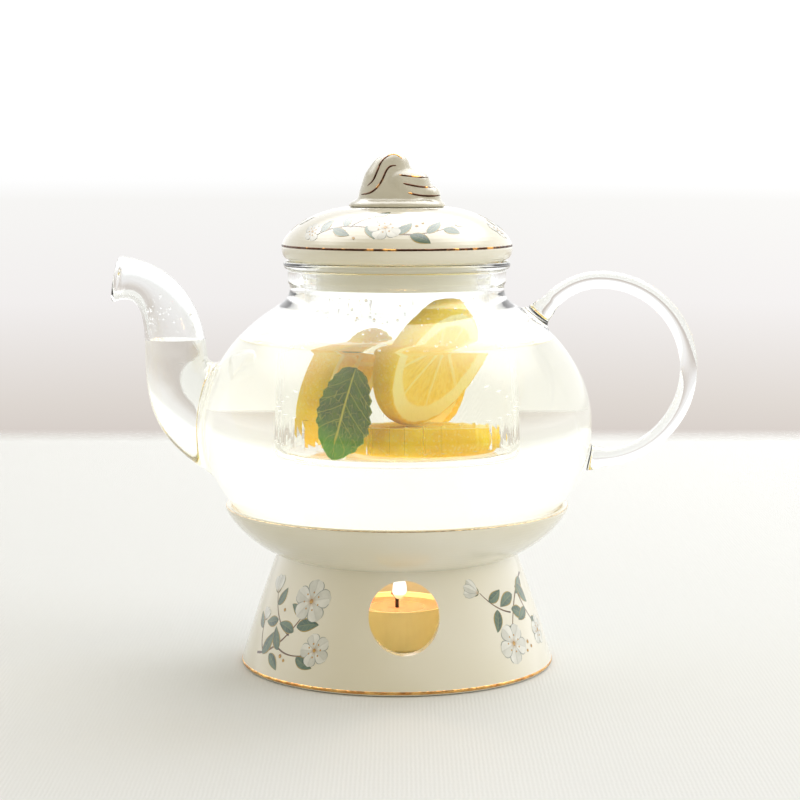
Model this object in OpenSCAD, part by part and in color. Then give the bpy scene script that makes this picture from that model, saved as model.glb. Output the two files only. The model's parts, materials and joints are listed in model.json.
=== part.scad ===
// Glass teapot with a porcelain lid, a glass infuser and a porcelain candle warmer.
// Millimetres. The origin is on the table under the middle of the warmer's foot.
// +Z is up, +X points to the handle, -X to the spout and -Y to the warmer's porthole.

/* [Warmer base] */
// Outer diameter of the warmer's foot
foot_d = 115.6; // [104:0.1:128]
// Height of the warmer base from the table to its mouth
base_h = 41.5; // [38:0.5:50]
// Outer diameter of the warmer base at its mouth
base_mouth_d = 88.6; // [84:0.2:96]
// Wall thickness of the warmer base
base_wall = 4; // [3:0.1:5]
// How far the wall bellies out from a straight cone
base_belly = 0.5; // [0:0.1:2]
// Height of the candle floor above the table
floor_top = 6.5; // [5:0.1:9]
// Thickness of the candle floor
floor_t = 3.5; // [2.5:0.1:4.5]
// Width of the flat ring that the warmer stands on
foot_ring_w = 4.5; // [3:0.1:6]
// Radius of the foot's rounded outer edge
foot_round = 1.2; // [0.5:0.1:2]
// Diameter of the round window in the wall
porthole_d = 25; // [18:0.5:27]
// Height of the window's middle above the table
porthole_z = 26.1; // [24:0.1:28]
// Turn of the window away from the front
porthole_turn = 3; // [0:1:30]

/* [Warmer dish] */
// Clear gap between the bowl and the dish
dish_gap = 1.4; // [1:0.1:3]
// Height of the dish from its seat to its rim
dish_h = 18.1; // [16:0.1:22]
// Thickness of the dish's floor
dish_floor_t = 4.5; // [3.5:0.1:5.5]
// Thickness of the dish's flared wall
dish_wall = 2.4; // [1.8:0.1:3]
// Diameter of the opening that lets the heat through
heat_hole_d = 48; // [42:0.5:60]
// Depth of the ring that keeps the dish in the base's mouth
dish_ring_depth = 4; // [2:0.1:6]
// Thickness of that ring
dish_ring_t = 3; // [2:0.1:4]
// Gap between that ring and the base's mouth
dish_ring_gap = 0.6; // [0.3:0.1:1.2]

/* [Pot bowl] */
// Diameter of the bowl's belly
bowl_d = 143.6; // [136:0.2:150]
// Half of the height of the ellipse that the belly follows
bowl_half_h = 55; // [52:0.5:60]
// Height of the widest part above the pot's foot
belly_up = 43; // [41:0.5:47]
// Glass thickness of the belly
bowl_wall = 1.9; // [1.4:0.1:2.6]
// Glass thickness of the bowl's floor
bowl_floor_t = 2.8; // [2.2:0.1:3.6]
// Outer diameter of the ring that the bowl stands on
bowl_foot_d = 83; // [78:0.5:86]
// Width of that ring
bowl_foot_w = 5.5; // [3:0.1:8]
// Height of the hollow under the bowl's floor
kick_h = 1.2; // [0.6:0.1:1.8]
// Outer diameter of the neck
neck_d = 78.8; // [76.4:0.2:84]
// Height of the straight neck, from the end of the shoulder's curve to the lip's top
neck_h = 7.7; // [6.5:0.1:13]
// Glass thickness of the neck
neck_wall = 2; // [1.5:0.1:2.2]
// How far the lip stands out from the neck
lip_out = 0.7; // [0.3:0.1:1]
// Height of the lip
lip_h = 5.4; // [3:0.1:7]

/* [Spout] */
// Glass thickness of the spout
spout_wall = 1.8; // [1.2:0.1:2.4]
// Distance from the pot's axis to the middle of the spout's mouth
spout_reach = 103.4; // [98:0.2:112]
// Height of the mouth's middle above the pot's foot
spout_tip_up = 96.2; // [90:0.2:104]
// Outer diameter of the spout's mouth
spout_tip_d = 17; // [14:0.2:19]
// Backward lean of the mouth's plane
spout_tip_lean = 9.5; // [0:0.5:20]
// Distance from the pot's axis to the middle of the rising tube
riser_x = 81.2; // [80:0.2:86]
// Height of the rising tube's straightest part above the pot's foot
riser_up = 67; // [65:0.5:72]
// Outer diameter of the rising tube
riser_d = 23; // [20:0.2:24]
// Height above the pot's foot at which the spout's underside meets the bowl
root_low_up = 23; // [20:0.2:28]
// Height above the pot's foot at which the spout's upper side meets the bowl
root_high_up = 63.6; // [60:0.2:64.6]
// Width of the spout where it meets the bowl
root_w = 28; // [24:0.5:34]

/* [Handle] */
// Diameter of the glass rod
rod_d = 6.5; // [5:0.1:8]
// Distance from the pot's axis to the middle of the handle's loop
loop_x = 74.6; // [73.4:0.2:80]
// Height of the loop's middle above the pot's foot
loop_up = 63; // [58:0.5:68]
// Radius of the loop along the rod's middle
loop_r = 33; // [30:0.5:36]
// Radius of the tighter bend above the bowl
bend_r = 24; // [18:0.5:28]
// Slope of the rod where it comes down on the shoulder
shoulder_slope = 45; // [38:1:52]
// Diameter of the rod's swollen ends at the bowl
rod_end_d = 8.6; // [8.4:0.1:11]
// Depth that the rod's ends are let into the bowl's glass
rod_weld = 0.07; // [0:0.01:0.12]

/* [Infuser] */
// Outer diameter of the infuser's tube
infuser_d = 68; // [64:0.2:70]
// Glass thickness of the tube
infuser_wall = 1.6; // [1.2:0.1:2]
// Depth of the infuser below the pot's lip
infuser_depth = 66.7; // [64:0.2:74]
// Thickness of the infuser's floor
infuser_floor_t = 1.8; // [1.4:0.1:2.4]
// Radius of the rounded edge at the infuser's bottom
infuser_round = 3; // [2:0.1:4]
// Outer diameter of the infuser's rim
rim_d = 83.2; // [81:0.2:86]
// Thickness of the rim
rim_t = 3; // [2.4:0.1:4]
// Gap between the flare's widest part and the neck
throat_gap = 0.9; // [0.6:0.1:1.2]
// Height of the flare below the rim
flare_h = 8; // [6:0.5:10]
// Number of straining slits
slit_count = 36; // [24:1:40]
// Width of a slit
slit_w = 1.2; // [0.8:0.1:1.6]
// Height of a slit
slit_h = 7.5; // [5:0.5:12]
// Height of the slits above the infuser's bottom
slit_up = 4; // [3.2:0.1:6]

/* [Lid] */
// Diameter of the lid
lid_d = 84.7; // [82:0.1:90]
// Height of the lid from its seat to the knob's seat
lid_h = 19.4; // [18:0.1:24]
// Height of the lid's widest part above its seat
lid_edge_up = 4.6; // [3.6:0.1:6]
// How far the lid's underside is set in from its edge
lid_tuck = 3.7; // [3:0.1:4.6]
// Width of the ring that the lid rests on
seat_w = 3.1; // [2.4:0.1:3.6]
// Wall thickness of the lid's dome
lid_wall = 3.4; // [2.6:0.1:4.2]
// Outer diameter of the collar that hangs in the infuser
collar_d = 59.8; // [54:0.2:62]
// Length of the collar below the lid's seat
collar_depth = 9.6; // [6:0.1:11]
// Wall thickness of the collar
collar_t = 2.9; // [2:0.1:4]
// Diameter of the flat that the knob stands on
knob_seat_d = 38; // [36:0.2:42]

/* [Knob] */
// Width of the knob's foot
knob_w = 35.6; // [30:0.2:36]
// Depth of the knob's foot from front to back
knob_depth = 25; // [20:0.2:30]
// Height of the knob
knob_h = 19.9; // [16:0.1:24]

/* [Candle] */
// Outer diameter of the candle's cup
cup_d = 38.4; // [36:0.1:40]
// Height of the cup
cup_h = 15.1; // [12:0.1:17]
// Thickness of the cup's metal
cup_t = 0.4; // [0.3:0.05:0.6]
// Depth of the wax below the cup's rim
wax_drop = 1.8; // [1:0.1:3]
// Diameter of the wick
wick_d = 1.4; // [1:0.1:2]
// Height of the wick's straight part above the wax
wick_up = 2.4; // [1:0.1:4]
// Radius of the wick's bend
wick_bend_r = 3.2; // [2.4:0.1:4]
// Diameter of the metal foot that holds the wick
tab_d = 13; // [10:0.5:16]

/* [Fruit] */
// Thickness of the front lemon slice
front_slice_t = 8; // [5:0.1:8.4]
// Thickness of the back lemon slice
back_slice_t = 5; // [3:0.1:5.4]
// Thickness of the left lemon slice
left_slice_t = 8; // [5:0.1:8.4]
// Thickness of the lying lemon slice at its front edge
low_slice_t = 7.5; // [5:0.1:8]
// Thickness of the lying lemon slice at its back edge
low_slice_back_t = 3; // [2:0.1:4]
// Gap between fruit and whatever it lies on
fruit_gap = 0.3; // [0.2:0.05:0.5]
// Thickness of a mint leaf
leaf_t = 0.7; // [0.5:0.1:1]
// Length of the front mint leaf
leaf_l = 27; // [20:0.5:28]
// Width of the front mint leaf
leaf_w = 17; // [10:0.5:18]
// Length of the back mint leaf
back_leaf_l = 21; // [16:0.5:22]
// Width of the back mint leaf
back_leaf_w = 13; // [8:0.5:14]

/* [Hidden] */
$fn = 96;

// Heights of the faces that the lower pieces stand on, from the table up.
dish_z = base_h;
pot_z = dish_z + dish_floor_t;
belly_z = pot_z + belly_up;

arc_steps = 16;
belly_steps = 28;

// ---- curves ----
function quad(a, b, c, t) = a * (1 - t) * (1 - t) + 2 * b * t * (1 - t) + c * t * t;
function cubic(a, b, c, d, t) = a * pow(1 - t, 3) + 3 * b * t * pow(1 - t, 2)
                              + 3 * c * t * t * (1 - t) + d * pow(t, 3);
function quad_arc(a, b, c, n = arc_steps) = [for (i = [0:n]) quad(a, b, c, i / n)];
function cubic_arc(a, b, c, d, n = arc_steps) = [for (i = [0:n]) cubic(a, b, c, d, i / n)];
function turned_back(points) = [for (i = [len(points) - 1:-1:0]) points[i]];

// Radius of the belly's ellipse at a height, for a skin a given depth inside the glass's outside.
function belly_r(z, depth = 0) =
    let (a = bowl_d / 2 - depth, b = bowl_half_h - depth, k = (z - belly_z) / b)
    a * sqrt(max(0, 1 - k * k));
// Change of that radius with height.
function belly_slope(z, depth = 0) =
    let (a = bowl_d / 2 - depth, b = bowl_half_h - depth)
    -a * a / (b * b) * (z - belly_z) / belly_r(z, depth);
function belly_arc(z1, z2, depth = 0) =
    [for (i = [0:belly_steps])
        let (z = belly_z - (bowl_half_h - depth) * cos(
                 acos((belly_z - z1) / (bowl_half_h - depth)) * (1 - i / belly_steps)
               + acos((belly_z - z2) / (bowl_half_h - depth)) * (i / belly_steps)))
        [belly_r(z, depth), z]];

// ---- warmer base ----
base_mouth_r = base_mouth_d / 2 - base_wall;

module warmer_base() {
    foot_r = foot_d / 2;
    wall_top = [base_mouth_d / 2, base_h];
    wall_foot = [foot_r, foot_round];
    wall_mid = (wall_top + wall_foot) / 2 + [2 * base_belly, 0];
    inner_top = [base_mouth_r, base_h];
    inner_foot = [foot_r - base_wall * 1.5, floor_top];
    inner_mid = (inner_top + inner_foot) / 2 + [base_belly, 0];
    ring_r = foot_r - foot_round - foot_ring_w;
    recess_z = floor_top - floor_t;
    recess_draft = 1;
    color("ivory") difference() {
        rotate_extrude() polygon(concat(
            [[0, recess_z], [ring_r - recess_draft, recess_z], [ring_r, 0]],
            quad_arc([foot_r - foot_round, 0], [foot_r, 0], wall_foot, 6),
            quad_arc(wall_foot, wall_mid, wall_top),
            quad_arc(inner_top, inner_mid, inner_foot),
            [[0, floor_top]]));
        rotate([0, 0, porthole_turn]) translate([0, 0, porthole_z])
            rotate([90, 0, 0]) cylinder(d = porthole_d, h = foot_d);
    }
}

// ---- warmer dish ----
// The dish follows the bowl, so its rim and the edge of its flat floor come from the bowl's outside.
dish_rim_z = dish_z + dish_h - dish_wall / 2;
dish_rim = [belly_r(dish_rim_z) + dish_gap + dish_wall, dish_rim_z];

module warmer_dish() {
    ring_out = base_mouth_r - dish_ring_gap;
    ring_in = ring_out - dish_ring_t;
    seat_r = base_mouth_d / 2;
    floor_z = dish_z + dish_floor_t;
    floor_r = foot_bend_r(pot_z, 0) + dish_gap;
    rise = dish_rim[1] - dish_z;
    run = dish_rim[0] - seat_r;
    rim_in = dish_rim - [dish_wall, 0];
    steep_pull = rim_in - [run * 0.12, rise * 0.3];
    flat_pull = [floor_r + run * 0.3, floor_z + rise * 0.04];
    under_flat_pull = flat_pull - [0, dish_wall * 0.85];
    under_steep_pull = steep_pull + dish_wall * [0.92, -0.33];
    color("ivory") rotate_extrude() polygon(concat(
        [[heat_hole_d / 2, floor_z], [heat_hole_d / 2, dish_z], [ring_in, dish_z],
         [ring_in, dish_z - dish_ring_depth], [ring_out, dish_z - dish_ring_depth],
         [ring_out, dish_z]],
        cubic_arc([seat_r, dish_z], under_flat_pull, under_steep_pull, dish_rim),
        quad_arc(dish_rim, dish_rim + [0, dish_wall / 2], dish_rim + [-dish_wall / 2, dish_wall / 2], 4),
        quad_arc(dish_rim + [-dish_wall / 2, dish_wall / 2], rim_in + [0, dish_wall / 2], rim_in, 4),
        cubic_arc(rim_in, steep_pull, flat_pull, [floor_r, floor_z])));
}

// ---- pot bowl ----
neck_r = neck_d / 2;
mouth_r = neck_r - neck_wall;
foot_blend = 3.5;
neck_blend = 5;
// Shares of that blend by which the neck's fillet reaches out over the belly and up the neck.
neck_out_share = 0.9;
neck_up_share = 0.66;
bowl_floor_z = pot_z + bowl_floor_t;

// Radius at which the belly, carried straight on from its fillet, meets the foot or floor at low_z.
function foot_bend_r(low_z, depth) =
    belly_r(low_z + foot_blend, depth) - foot_blend * belly_slope(low_z + foot_blend, depth);

// Skin of the bowl from its foot or floor up to the neck, on the outside or inside of the glass.
function bowl_skin(depth, low_z, low_r, side_r) =
    let (blend_z = low_z + foot_blend,
         blend_r = belly_r(blend_z, depth),
         foot_bend = [foot_bend_r(low_z, depth), low_z],
         turn_z = shoulder_z(depth, side_r),
         neck_start = [belly_r(turn_z, depth), turn_z],
         neck_bend = [side_r, turn_z + (side_r - neck_start[0]) / belly_slope(turn_z, depth)])
    concat(quad_arc([min(low_r, foot_bend[0] - 0.5), low_z], foot_bend, [blend_r, blend_z], 8),
           belly_arc(blend_z, turn_z, depth),
           quad_arc(neck_start, neck_bend, neck_bend + [0, neck_blend * neck_up_share], 8));

// Height at which the belly's ellipse is a little wider than the neck, where the neck's fillet starts.
function shoulder_z(depth, side_r) =
    let (k = (side_r + neck_blend * neck_out_share) / (bowl_d / 2 - depth))
    belly_z + (bowl_half_h - depth) * sqrt(1 - k * k);

bowl_outside = bowl_skin(0, pot_z, bowl_foot_d / 2, neck_r);
bowl_inside = bowl_skin(bowl_wall, bowl_floor_z, bowl_foot_d / 2, mouth_r);

// Heights of the lip and of the pieces that rest on it.
neck_z = bowl_outside[len(bowl_outside) - 1][1];
lip_z = neck_z + neck_h;
rim_z = lip_z;
lid_z = rim_z + rim_t;
knob_z = lid_z + lid_h;
infuser_z = rim_z - infuser_depth;
tea_floor_z = infuser_z + infuser_floor_t;

// The way through the bowl's wall into the spout.
module spout_hole() {
    mid_z = (root_low + root_high) / 2;
    half_h = (root_high - root_low) / 2 - spout_wall * 2;
    half_w = root_w / 2 - spout_wall * 2;
    steps = 40;
    translate([-bowl_d / 2 - 1, 0, 0]) rotate([90, 0, 90]) linear_extrude(bowl_d / 4)
        polygon([for (i = [0:steps - 1])
            [half_w * cos(360 * i / steps), mid_z + half_h * sin(360 * i / steps)]]);
}

module pot_bowl() {
    ring_in = bowl_foot_d / 2 - bowl_foot_w;
    color("azure", 0.4) difference() {
        rotate_extrude() polygon(concat(
            [[0, pot_z + kick_h], [ring_in - 3 * kick_h, pot_z + kick_h], [ring_in, pot_z]],
            bowl_outside, turned_back(bowl_inside), [[0, bowl_floor_z]]));
        spout_hole();
    }
}

// ---- neck ----
// The neck and its rounded lip carry on from where the bowl's two skins end.
module pot_neck() {
    lip_r = neck_r + lip_out;
    inner_round = 0.4;
    color("azure", 0.4) rotate_extrude() polygon(concat(
        [bowl_outside[len(bowl_outside) - 1],
         [neck_r, lip_z - lip_h - lip_out], [lip_r, lip_z - lip_h]],
        quad_arc([lip_r, lip_z - lip_out], [lip_r, lip_z], [lip_r - lip_out, lip_z], 4),
        [[mouth_r + inner_round, lip_z], [mouth_r, lip_z - inner_round],
         bowl_inside[len(bowl_inside) - 1]]));
}

// ---- spout ----
// Two rails, the spout's underside and upper side, run from the mouth past the rise to the bowl.
// Rings span them, and every line of the tube ends where it meets the bowl's outside.
root_low = pot_z + root_low_up;
root_high = pot_z + root_high_up;
tip = [-spout_reach, pot_z + spout_tip_up];
tip_half = [sin(spout_tip_lean), cos(spout_tip_lean)] * spout_tip_d / 2;
riser_low = [-riser_x - riser_d / 2, pot_z + riser_up];
riser_high = [-riser_x + riser_d / 2, pot_z + riser_up];
root_low_at = [-belly_r(root_low), root_low];
root_high_at = [-belly_r(root_high), root_high];
// How far each rail's curve pulls away from its ends before it bends.
low_tip_pull = [10.8, 4];
low_riser_pull = [0, 16.6];
low_belly_pull = [0, -21];
low_root_pull = [-20.2, 11.8];
high_tip_pull = [15.2, -1];
high_riser_pull = [-1.7, 26];
high_crotch_pull = [0.1, -1.4];
high_root_pull = [-1.7, 1.4];
// Share of the spout's length at which the rails pass the rise.
riser_at = 0.6;
spout_sides = 36;
spout_rings = 14;
root_rings = 14;

function rail(start, riser, end, pulls, s) =
    (s < riser_at
      ? cubic(start, start + pulls[0], riser + pulls[1], riser, s / riser_at)
      : cubic(riser, riser + pulls[2], end + pulls[3], end, min(1, root_share(s))))
    + [past_root(s), 0];
function root_share(s) = (s - riser_at) / (1 - riser_at);
function low_rail(s) =
    rail(tip - tip_half, riser_low, root_low_at,
         [low_tip_pull, low_riser_pull, low_belly_pull, low_root_pull], s);
function high_rail(s) =
    rail(tip + tip_half, riser_high, root_high_at,
         [high_tip_pull, high_riser_pull, high_crotch_pull, high_root_pull], s);
// Beyond the root the rings go straight on into the bowl.
function past_root(s) = max(0, s - 1) * bowl_d / 4;
function half_width(s) =
    s < riser_at
      ? norm(high_rail(s) - low_rail(s)) / 2
      : riser_d / 2 + (root_w - riser_d) / 2 * min(1, root_share(s));

// A point of the tube: s along the spout, a round it, and depth below the glass's outside.
function spout_point(s, a, depth) =
    let (low = low_rail(s), high = high_rail(s), span = norm(high - low),
         mid = (low + high) / 2, up = (high - low) / span * (span / 2 - depth))
    [mid[0] + up[0] * sin(a), (half_width(s) - depth) * cos(a), mid[1] + up[1] * sin(a)];
function is_in_bowl(p) = norm([p[0], p[1]]) < belly_r(p[2]);
function root_s(a, depth, low = riser_at, high = 1.6, n = 22) =
    n == 0 ? low
  : let (mid = (low + high) / 2)
    is_in_bowl(spout_point(mid, a, depth))
      ? root_s(a, depth, low, mid, n - 1)
      : root_s(a, depth, mid, high, n - 1);

function spout_skin(depth) =
    [for (i = [0:spout_rings + root_rings])
        [for (j = [0:spout_sides - 1])
            let (a = 360 * j / spout_sides,
                 s = i <= spout_rings
                   ? riser_at * i / spout_rings
                   : riser_at + (root_s(a, depth) - riser_at) * (i - spout_rings) / root_rings)
            spout_point(s, a, depth)]];

module pot_spout() {
    outside = spout_skin(0);
    inside = spout_skin(spout_wall);
    rings = concat(outside, turned_back(inside));
    n = spout_sides;
    m = len(rings);
    color("azure", 0.4) polyhedron(
        [for (ring = rings) for (p = ring) p],
        [for (i = [0:m - 1]) for (j = [0:n - 1])
            let (k = (i + 1) % m, l = (j + 1) % n)
            each [[i * n + j, i * n + l, k * n + l], [i * n + j, k * n + l, k * n + j]]]);
}

// ---- handle ----
module rod_arc(radius, from, to) {
    rotate([90, 0, 0]) rotate([0, 0, from])
        rotate_extrude(angle = to - from) translate([radius, 0]) circle(d = rod_d);
}

// Distance from a point outside the belly to its ellipse, along a direction of length 1.
function way_to_belly(from, dir) =
    let (a = bowl_d / 2, b = bowl_half_h,
         u = [from[0] / a, (from[1] - belly_z) / b], v = [dir[0] / a, dir[1] / b])
    (-u * v - sqrt(pow(u * v, 2) - v * v * (u * u - 1))) / (v * v);
// Slope of the belly's outward normal above the horizontal.
function normal_slope(at) =
    atan2((at[1] - belly_z) / pow(bowl_half_h, 2), at[0] / pow(bowl_d / 2, 2));

// What lies inside the bowl beyond a rod's end, with the end let into the glass.
module beyond_end(at) {
    size = 4 * rod_d;
    translate([at[0], 0, at[1]]) rotate([0, -normal_slope(at), 0])
        translate([-size - rod_weld, -size / 2, -size / 2]) cube(size);
}

// A swollen end of the rod. It begins just inside the arc and runs on past the bowl's outside.
module rod_foot(start, turn, run) {
    inside_arc = 1;
    start_d = rod_d + 0.3;
    length = inside_arc + run + rod_d;
    swell = (rod_end_d - start_d) / (inside_arc + run);
    translate([start[0], 0, start[1]]) rotate([0, turn, 0]) translate([0, 0, -inside_arc])
        cylinder(d1 = start_d, d2 = start_d + swell * length, h = length);
}

module pot_handle() {
    loop_z = pot_z + loop_up;
    bend_z = loop_z + loop_r - bend_r;
    bend_end = 90 + shoulder_slope;
    low_start = [loop_x, loop_z - loop_r];
    low_run = way_to_belly(low_start, [-1, 0]);
    high_start = [loop_x + bend_r * cos(bend_end), bend_z + bend_r * sin(bend_end)];
    high_dir = -[sin(bend_end), -cos(bend_end)];
    high_run = way_to_belly(high_start, high_dir);
    color("azure", 0.4) difference() {
        union() {
            translate([loop_x, 0, loop_z]) rod_arc(loop_r, -90, 90);
            translate([loop_x, 0, bend_z]) rod_arc(bend_r, 90, bend_end);
            rod_foot(low_start, -90, low_run);
            rod_foot(high_start, 180 + shoulder_slope, high_run);
        }
        beyond_end(low_start + [-low_run, 0]);
        beyond_end(high_start + high_run * high_dir);
    }
}

// ---- infuser ----
infuser_r = infuser_d / 2;
fruit_r = infuser_r - infuser_wall;

module infuser() {
    rim_r = rim_d / 2;
    throat_r = mouth_r - throat_gap;
    flare_z = rim_z - flare_h;
    edge = rim_t / 2;
    throat_taper = 0.2;
    top_in = throat_r - throat_taper;
    throat_pull = 1;
    mouth_pull = 0.6;
    slit_spare = 1;
    color("azure", 0.4) difference() {
        rotate_extrude() polygon(concat(
            [[0, infuser_z]],
            quad_arc([infuser_r - infuser_round, infuser_z], [infuser_r, infuser_z],
                     [infuser_r, infuser_z + infuser_round], 6),
            cubic_arc([infuser_r, flare_z], [infuser_r, rim_z - flare_h / 2],
                      [throat_r - throat_pull, rim_z - throat_pull], [throat_r, rim_z], 8),
            quad_arc([rim_r - edge, rim_z], [rim_r, rim_z], [rim_r, rim_z + edge], 6),
            quad_arc([rim_r, rim_z + edge], [rim_r, lid_z], [rim_r - edge, lid_z], 6),
            [[top_in, lid_z]],
            cubic_arc([top_in - mouth_pull, lid_z - mouth_pull],
                      [top_in - 2 * mouth_pull, rim_z - throat_pull],
                      [fruit_r, rim_z - flare_h / 2], [fruit_r, flare_z], 8),
            quad_arc([fruit_r, tea_floor_z + infuser_round / 2], [fruit_r, tea_floor_z],
                     [fruit_r - infuser_round / 2, tea_floor_z], 6),
            [[0, tea_floor_z]]));
        for (i = [0:slit_count - 1])
            rotate([0, 0, 360 * (i + 0.5) / slit_count])
                translate([fruit_r - slit_spare, -slit_w / 2, infuser_z + slit_up])
                    cube([infuser_wall + 2 * slit_spare, slit_w, slit_h]);
    }
}

// ---- lid ----
module lid_dome() {
    lid_r = lid_d / 2;
    edge = [lid_r, lid_z + lid_edge_up];
    top = [knob_seat_d / 2, knob_z];
    rise = lid_h - lid_edge_up;
    run = lid_r - knob_seat_d / 2;
    seat_r = lid_r - lid_tuck;
    collar_r = collar_d / 2;
    collar_in = collar_r - collar_t;
    groove_out = seat_r - seat_w;
    groove_top = lid_z + lid_wall * 3;
    collar_z = lid_z - collar_depth;
    collar_bevel = 0.6;
    tuck_rise = 0.4;
    edge_pull = [-0.35, rise * 0.42];
    top_pull = [run * 0.5, -rise * 0.075];
    ceiling = [knob_seat_d / 2 - 2, knob_z - lid_wall];
    color("ivory") rotate_extrude() polygon(concat(
        [[collar_in, collar_z + collar_bevel], [collar_in + collar_bevel, collar_z],
         [collar_r - collar_bevel, collar_z], [collar_r, collar_z + collar_bevel]],
        quad_arc([collar_r, lid_z + lid_wall], [(collar_r + groove_out) / 2, groove_top],
                 [groove_out, lid_z + lid_wall], 8),
        [[groove_out, lid_z]],
        quad_arc([seat_r, lid_z], [lid_r, lid_z + tuck_rise], edge, 8),
        cubic_arc(edge, edge + edge_pull, top + top_pull, top),
        [[0, knob_z], [0, ceiling[1]], ceiling],
        quad_arc(ceiling, [collar_in, knob_z - lid_wall * 1.4], [collar_in, lid_z + lid_wall], 8)));
}

// A shell-like finial: a flared oval foot, a tall lobe that leans back and two folded steps beside it.
// Each ball of a lobe is given by its middle's shares of the knob's width and height, its radius as
// a share of the height, and its stretch from front to back.
module knob_lobe(points) {
    hull() for (p = points)
        translate([p[0] * knob_w, 0, knob_z + p[1] * knob_h])
            scale([1, p[3], 1]) sphere(r = p[2] * knob_h, $fn = 32);
}

module lid_knob() {
    deep = knob_depth / knob_w;
    foot_t = 0.06 * knob_h;
    step_t = 0.13 * knob_h;
    step_w = 0.86 * knob_w;
    color("ivory") intersection() {
        union() {
            hull() {
                translate([0, 0, knob_z]) scale([1, deep, 1])
                    cylinder(d = knob_w, h = foot_t, $fn = 48);
                translate([0, 0, knob_z]) scale([1, deep, 1])
                    cylinder(d = step_w, h = step_t, $fn = 48);
            }
            knob_lobe([[-0.21, 0.18, 0.34, 1.1], [-0.17, 0.47, 0.32, 0.95], [-0.12, 0.66, 0.28, 0.85],
                       [-0.02, 0.72, 0.28, 0.8], [0.02, 0.16, 0.36, 1.15]]);
            knob_lobe([[0.22, 0.42, 0.23, 1.2], [0.02, 0.44, 0.3, 1.3], [0.14, 0.14, 0.34, 1.2]]);
            knob_lobe([[0.34, 0.2, 0.2, 1.4], [0.1, 0.2, 0.28, 1.3], [0.34, 0.06, 0.2, 1.3]]);
        }
        translate([-knob_w, -knob_w, knob_z]) cube([2 * knob_w, 2 * knob_w, 2 * knob_h]);
    }
}

// ---- candle ----
cup_z = floor_top;
wax_top = cup_z + cup_h - wax_drop;
cup_bevel = 0.8;
tab_t = 0.3;
tab_tube_h = 4;
fit_gap = 0.05;
tab_tube_wall = 0.4;
tab_tube_r = wick_d / 2 + fit_gap + tab_tube_wall;

module candle_cup() {
    bead = cup_t * 0.8;
    cup_r = cup_d / 2;
    color("silver") union() {
        translate([0, 0, cup_z]) rotate_extrude() polygon([
            [0, 0], [cup_r - cup_bevel, 0], [cup_r, cup_bevel], [cup_r, cup_h],
            [cup_r - cup_t, cup_h], [cup_r - cup_t, cup_bevel + cup_t / 2],
            [cup_r - cup_bevel - cup_t / 2, cup_t], [0, cup_t]]);
        translate([0, 0, cup_z + cup_h - bead]) rotate_extrude()
            translate([cup_r - cup_t / 2, 0]) circle(r = bead, $fn = 24);
    }
}

module wick_tab() {
    base_z = cup_z + cup_t;
    color("gainsboro") difference() {
        translate([0, 0, base_z]) union() {
            cylinder(d = tab_d, h = tab_t);
            cylinder(r = tab_tube_r, h = tab_tube_h);
        }
        translate([0, 0, base_z - 1]) cylinder(d = wick_d + 2 * fit_gap, h = tab_tube_h + 2);
    }
}

// The wax has sunk a little round the wick and is a little lower at the cup's wall.
module candle_wax() {
    base_z = cup_z + cup_t;
    wax_r = cup_d / 2 - cup_t - fit_gap;
    wax_h = wax_top - base_z - fit_gap;
    sag = 0.3;
    well_r = 4;
    color("linen") difference() {
        translate([0, 0, base_z + fit_gap]) rotate_extrude() polygon([
            [0, 0], [wax_r - cup_bevel, 0], [wax_r, cup_bevel], [wax_r, wax_h - sag],
            [wax_r - 2 * sag, wax_h], [well_r, wax_h], [0, wax_h - sag]]);
        translate([0, 0, base_z - 1]) cylinder(d = tab_d + 2 * fit_gap, h = tab_t + 1 + fit_gap);
        translate([0, 0, base_z - 1]) cylinder(r = tab_tube_r + fit_gap, h = tab_tube_h + 1 + fit_gap);
        translate([0, 0, base_z - 1]) cylinder(d = wick_d + 2 * fit_gap, h = cup_h + 2);
    }
}

module candle_wick() {
    low = cup_z + cup_t + 2 * fit_gap;
    top = wax_top + wick_up;
    bend_angle = 70;
    color("dimgray") union() {
        translate([0, 0, low]) cylinder(d = wick_d, h = top - low);
        translate([-wick_bend_r, 0, top]) rotate([90, 0, 0])
            rotate_extrude(angle = bend_angle) translate([wick_bend_r, 0]) circle(d = wick_d);
    }
}

// ---- fruit ----
// The lying slice is a wedge, thick in front. The others stand on their edges and lean to the right.
// Share of a slice's thickness by which its faces are smaller in radius than its peel.
peel_bulge = 0.24;
low_slice_r = fruit_r * 0.685;
low_slice_at = [fruit_r * 0.21, -fruit_r * 0.03, tea_floor_z + fruit_gap];
low_slice_middle_z = low_slice_at[2] + (low_slice_t + low_slice_back_t) / 2;
low_slice_slope = atan((low_slice_t - low_slice_back_t) / (2 * low_slice_r));
front_slice_r = fruit_r * 0.78;
front_turn = 38;
front_lean = 24;
front_slice_at = [fruit_r * 0.45, -fruit_r * 0.25,
                  low_slice_middle_z + fruit_gap + slice_rise(front_slice_r, front_slice_t, front_lean)];
left_slice_r = fruit_r * 0.7;
left_turn = 26;
left_lean = 21;
left_slice_at = [-fruit_r * 0.345, -fruit_r * 0.02,
                 tea_floor_z + fruit_gap + slice_rise(left_slice_r, left_slice_t, left_lean)];
back_slice_r = fruit_r * 0.36;
back_turn = 100;
back_lean = 12;
back_slice_at = [fruit_r * 0.19, fruit_r * 0.72,
                 tea_floor_z + fruit_gap + slice_rise(back_slice_r, back_slice_t, back_lean)];

// A lemon slice with rounded peel, its face at z = 0 and its thickness below.
module lemon_slice(radius, thick) {
    edge = radius - peel_bulge * thick;
    color("gold") rotate_extrude() polygon(concat(
        [[0, -thick]],
        quad_arc([edge, -thick], [2 * radius - edge, -thick / 2], [edge, 0], 10),
        [[0, 0]]));
}
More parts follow.
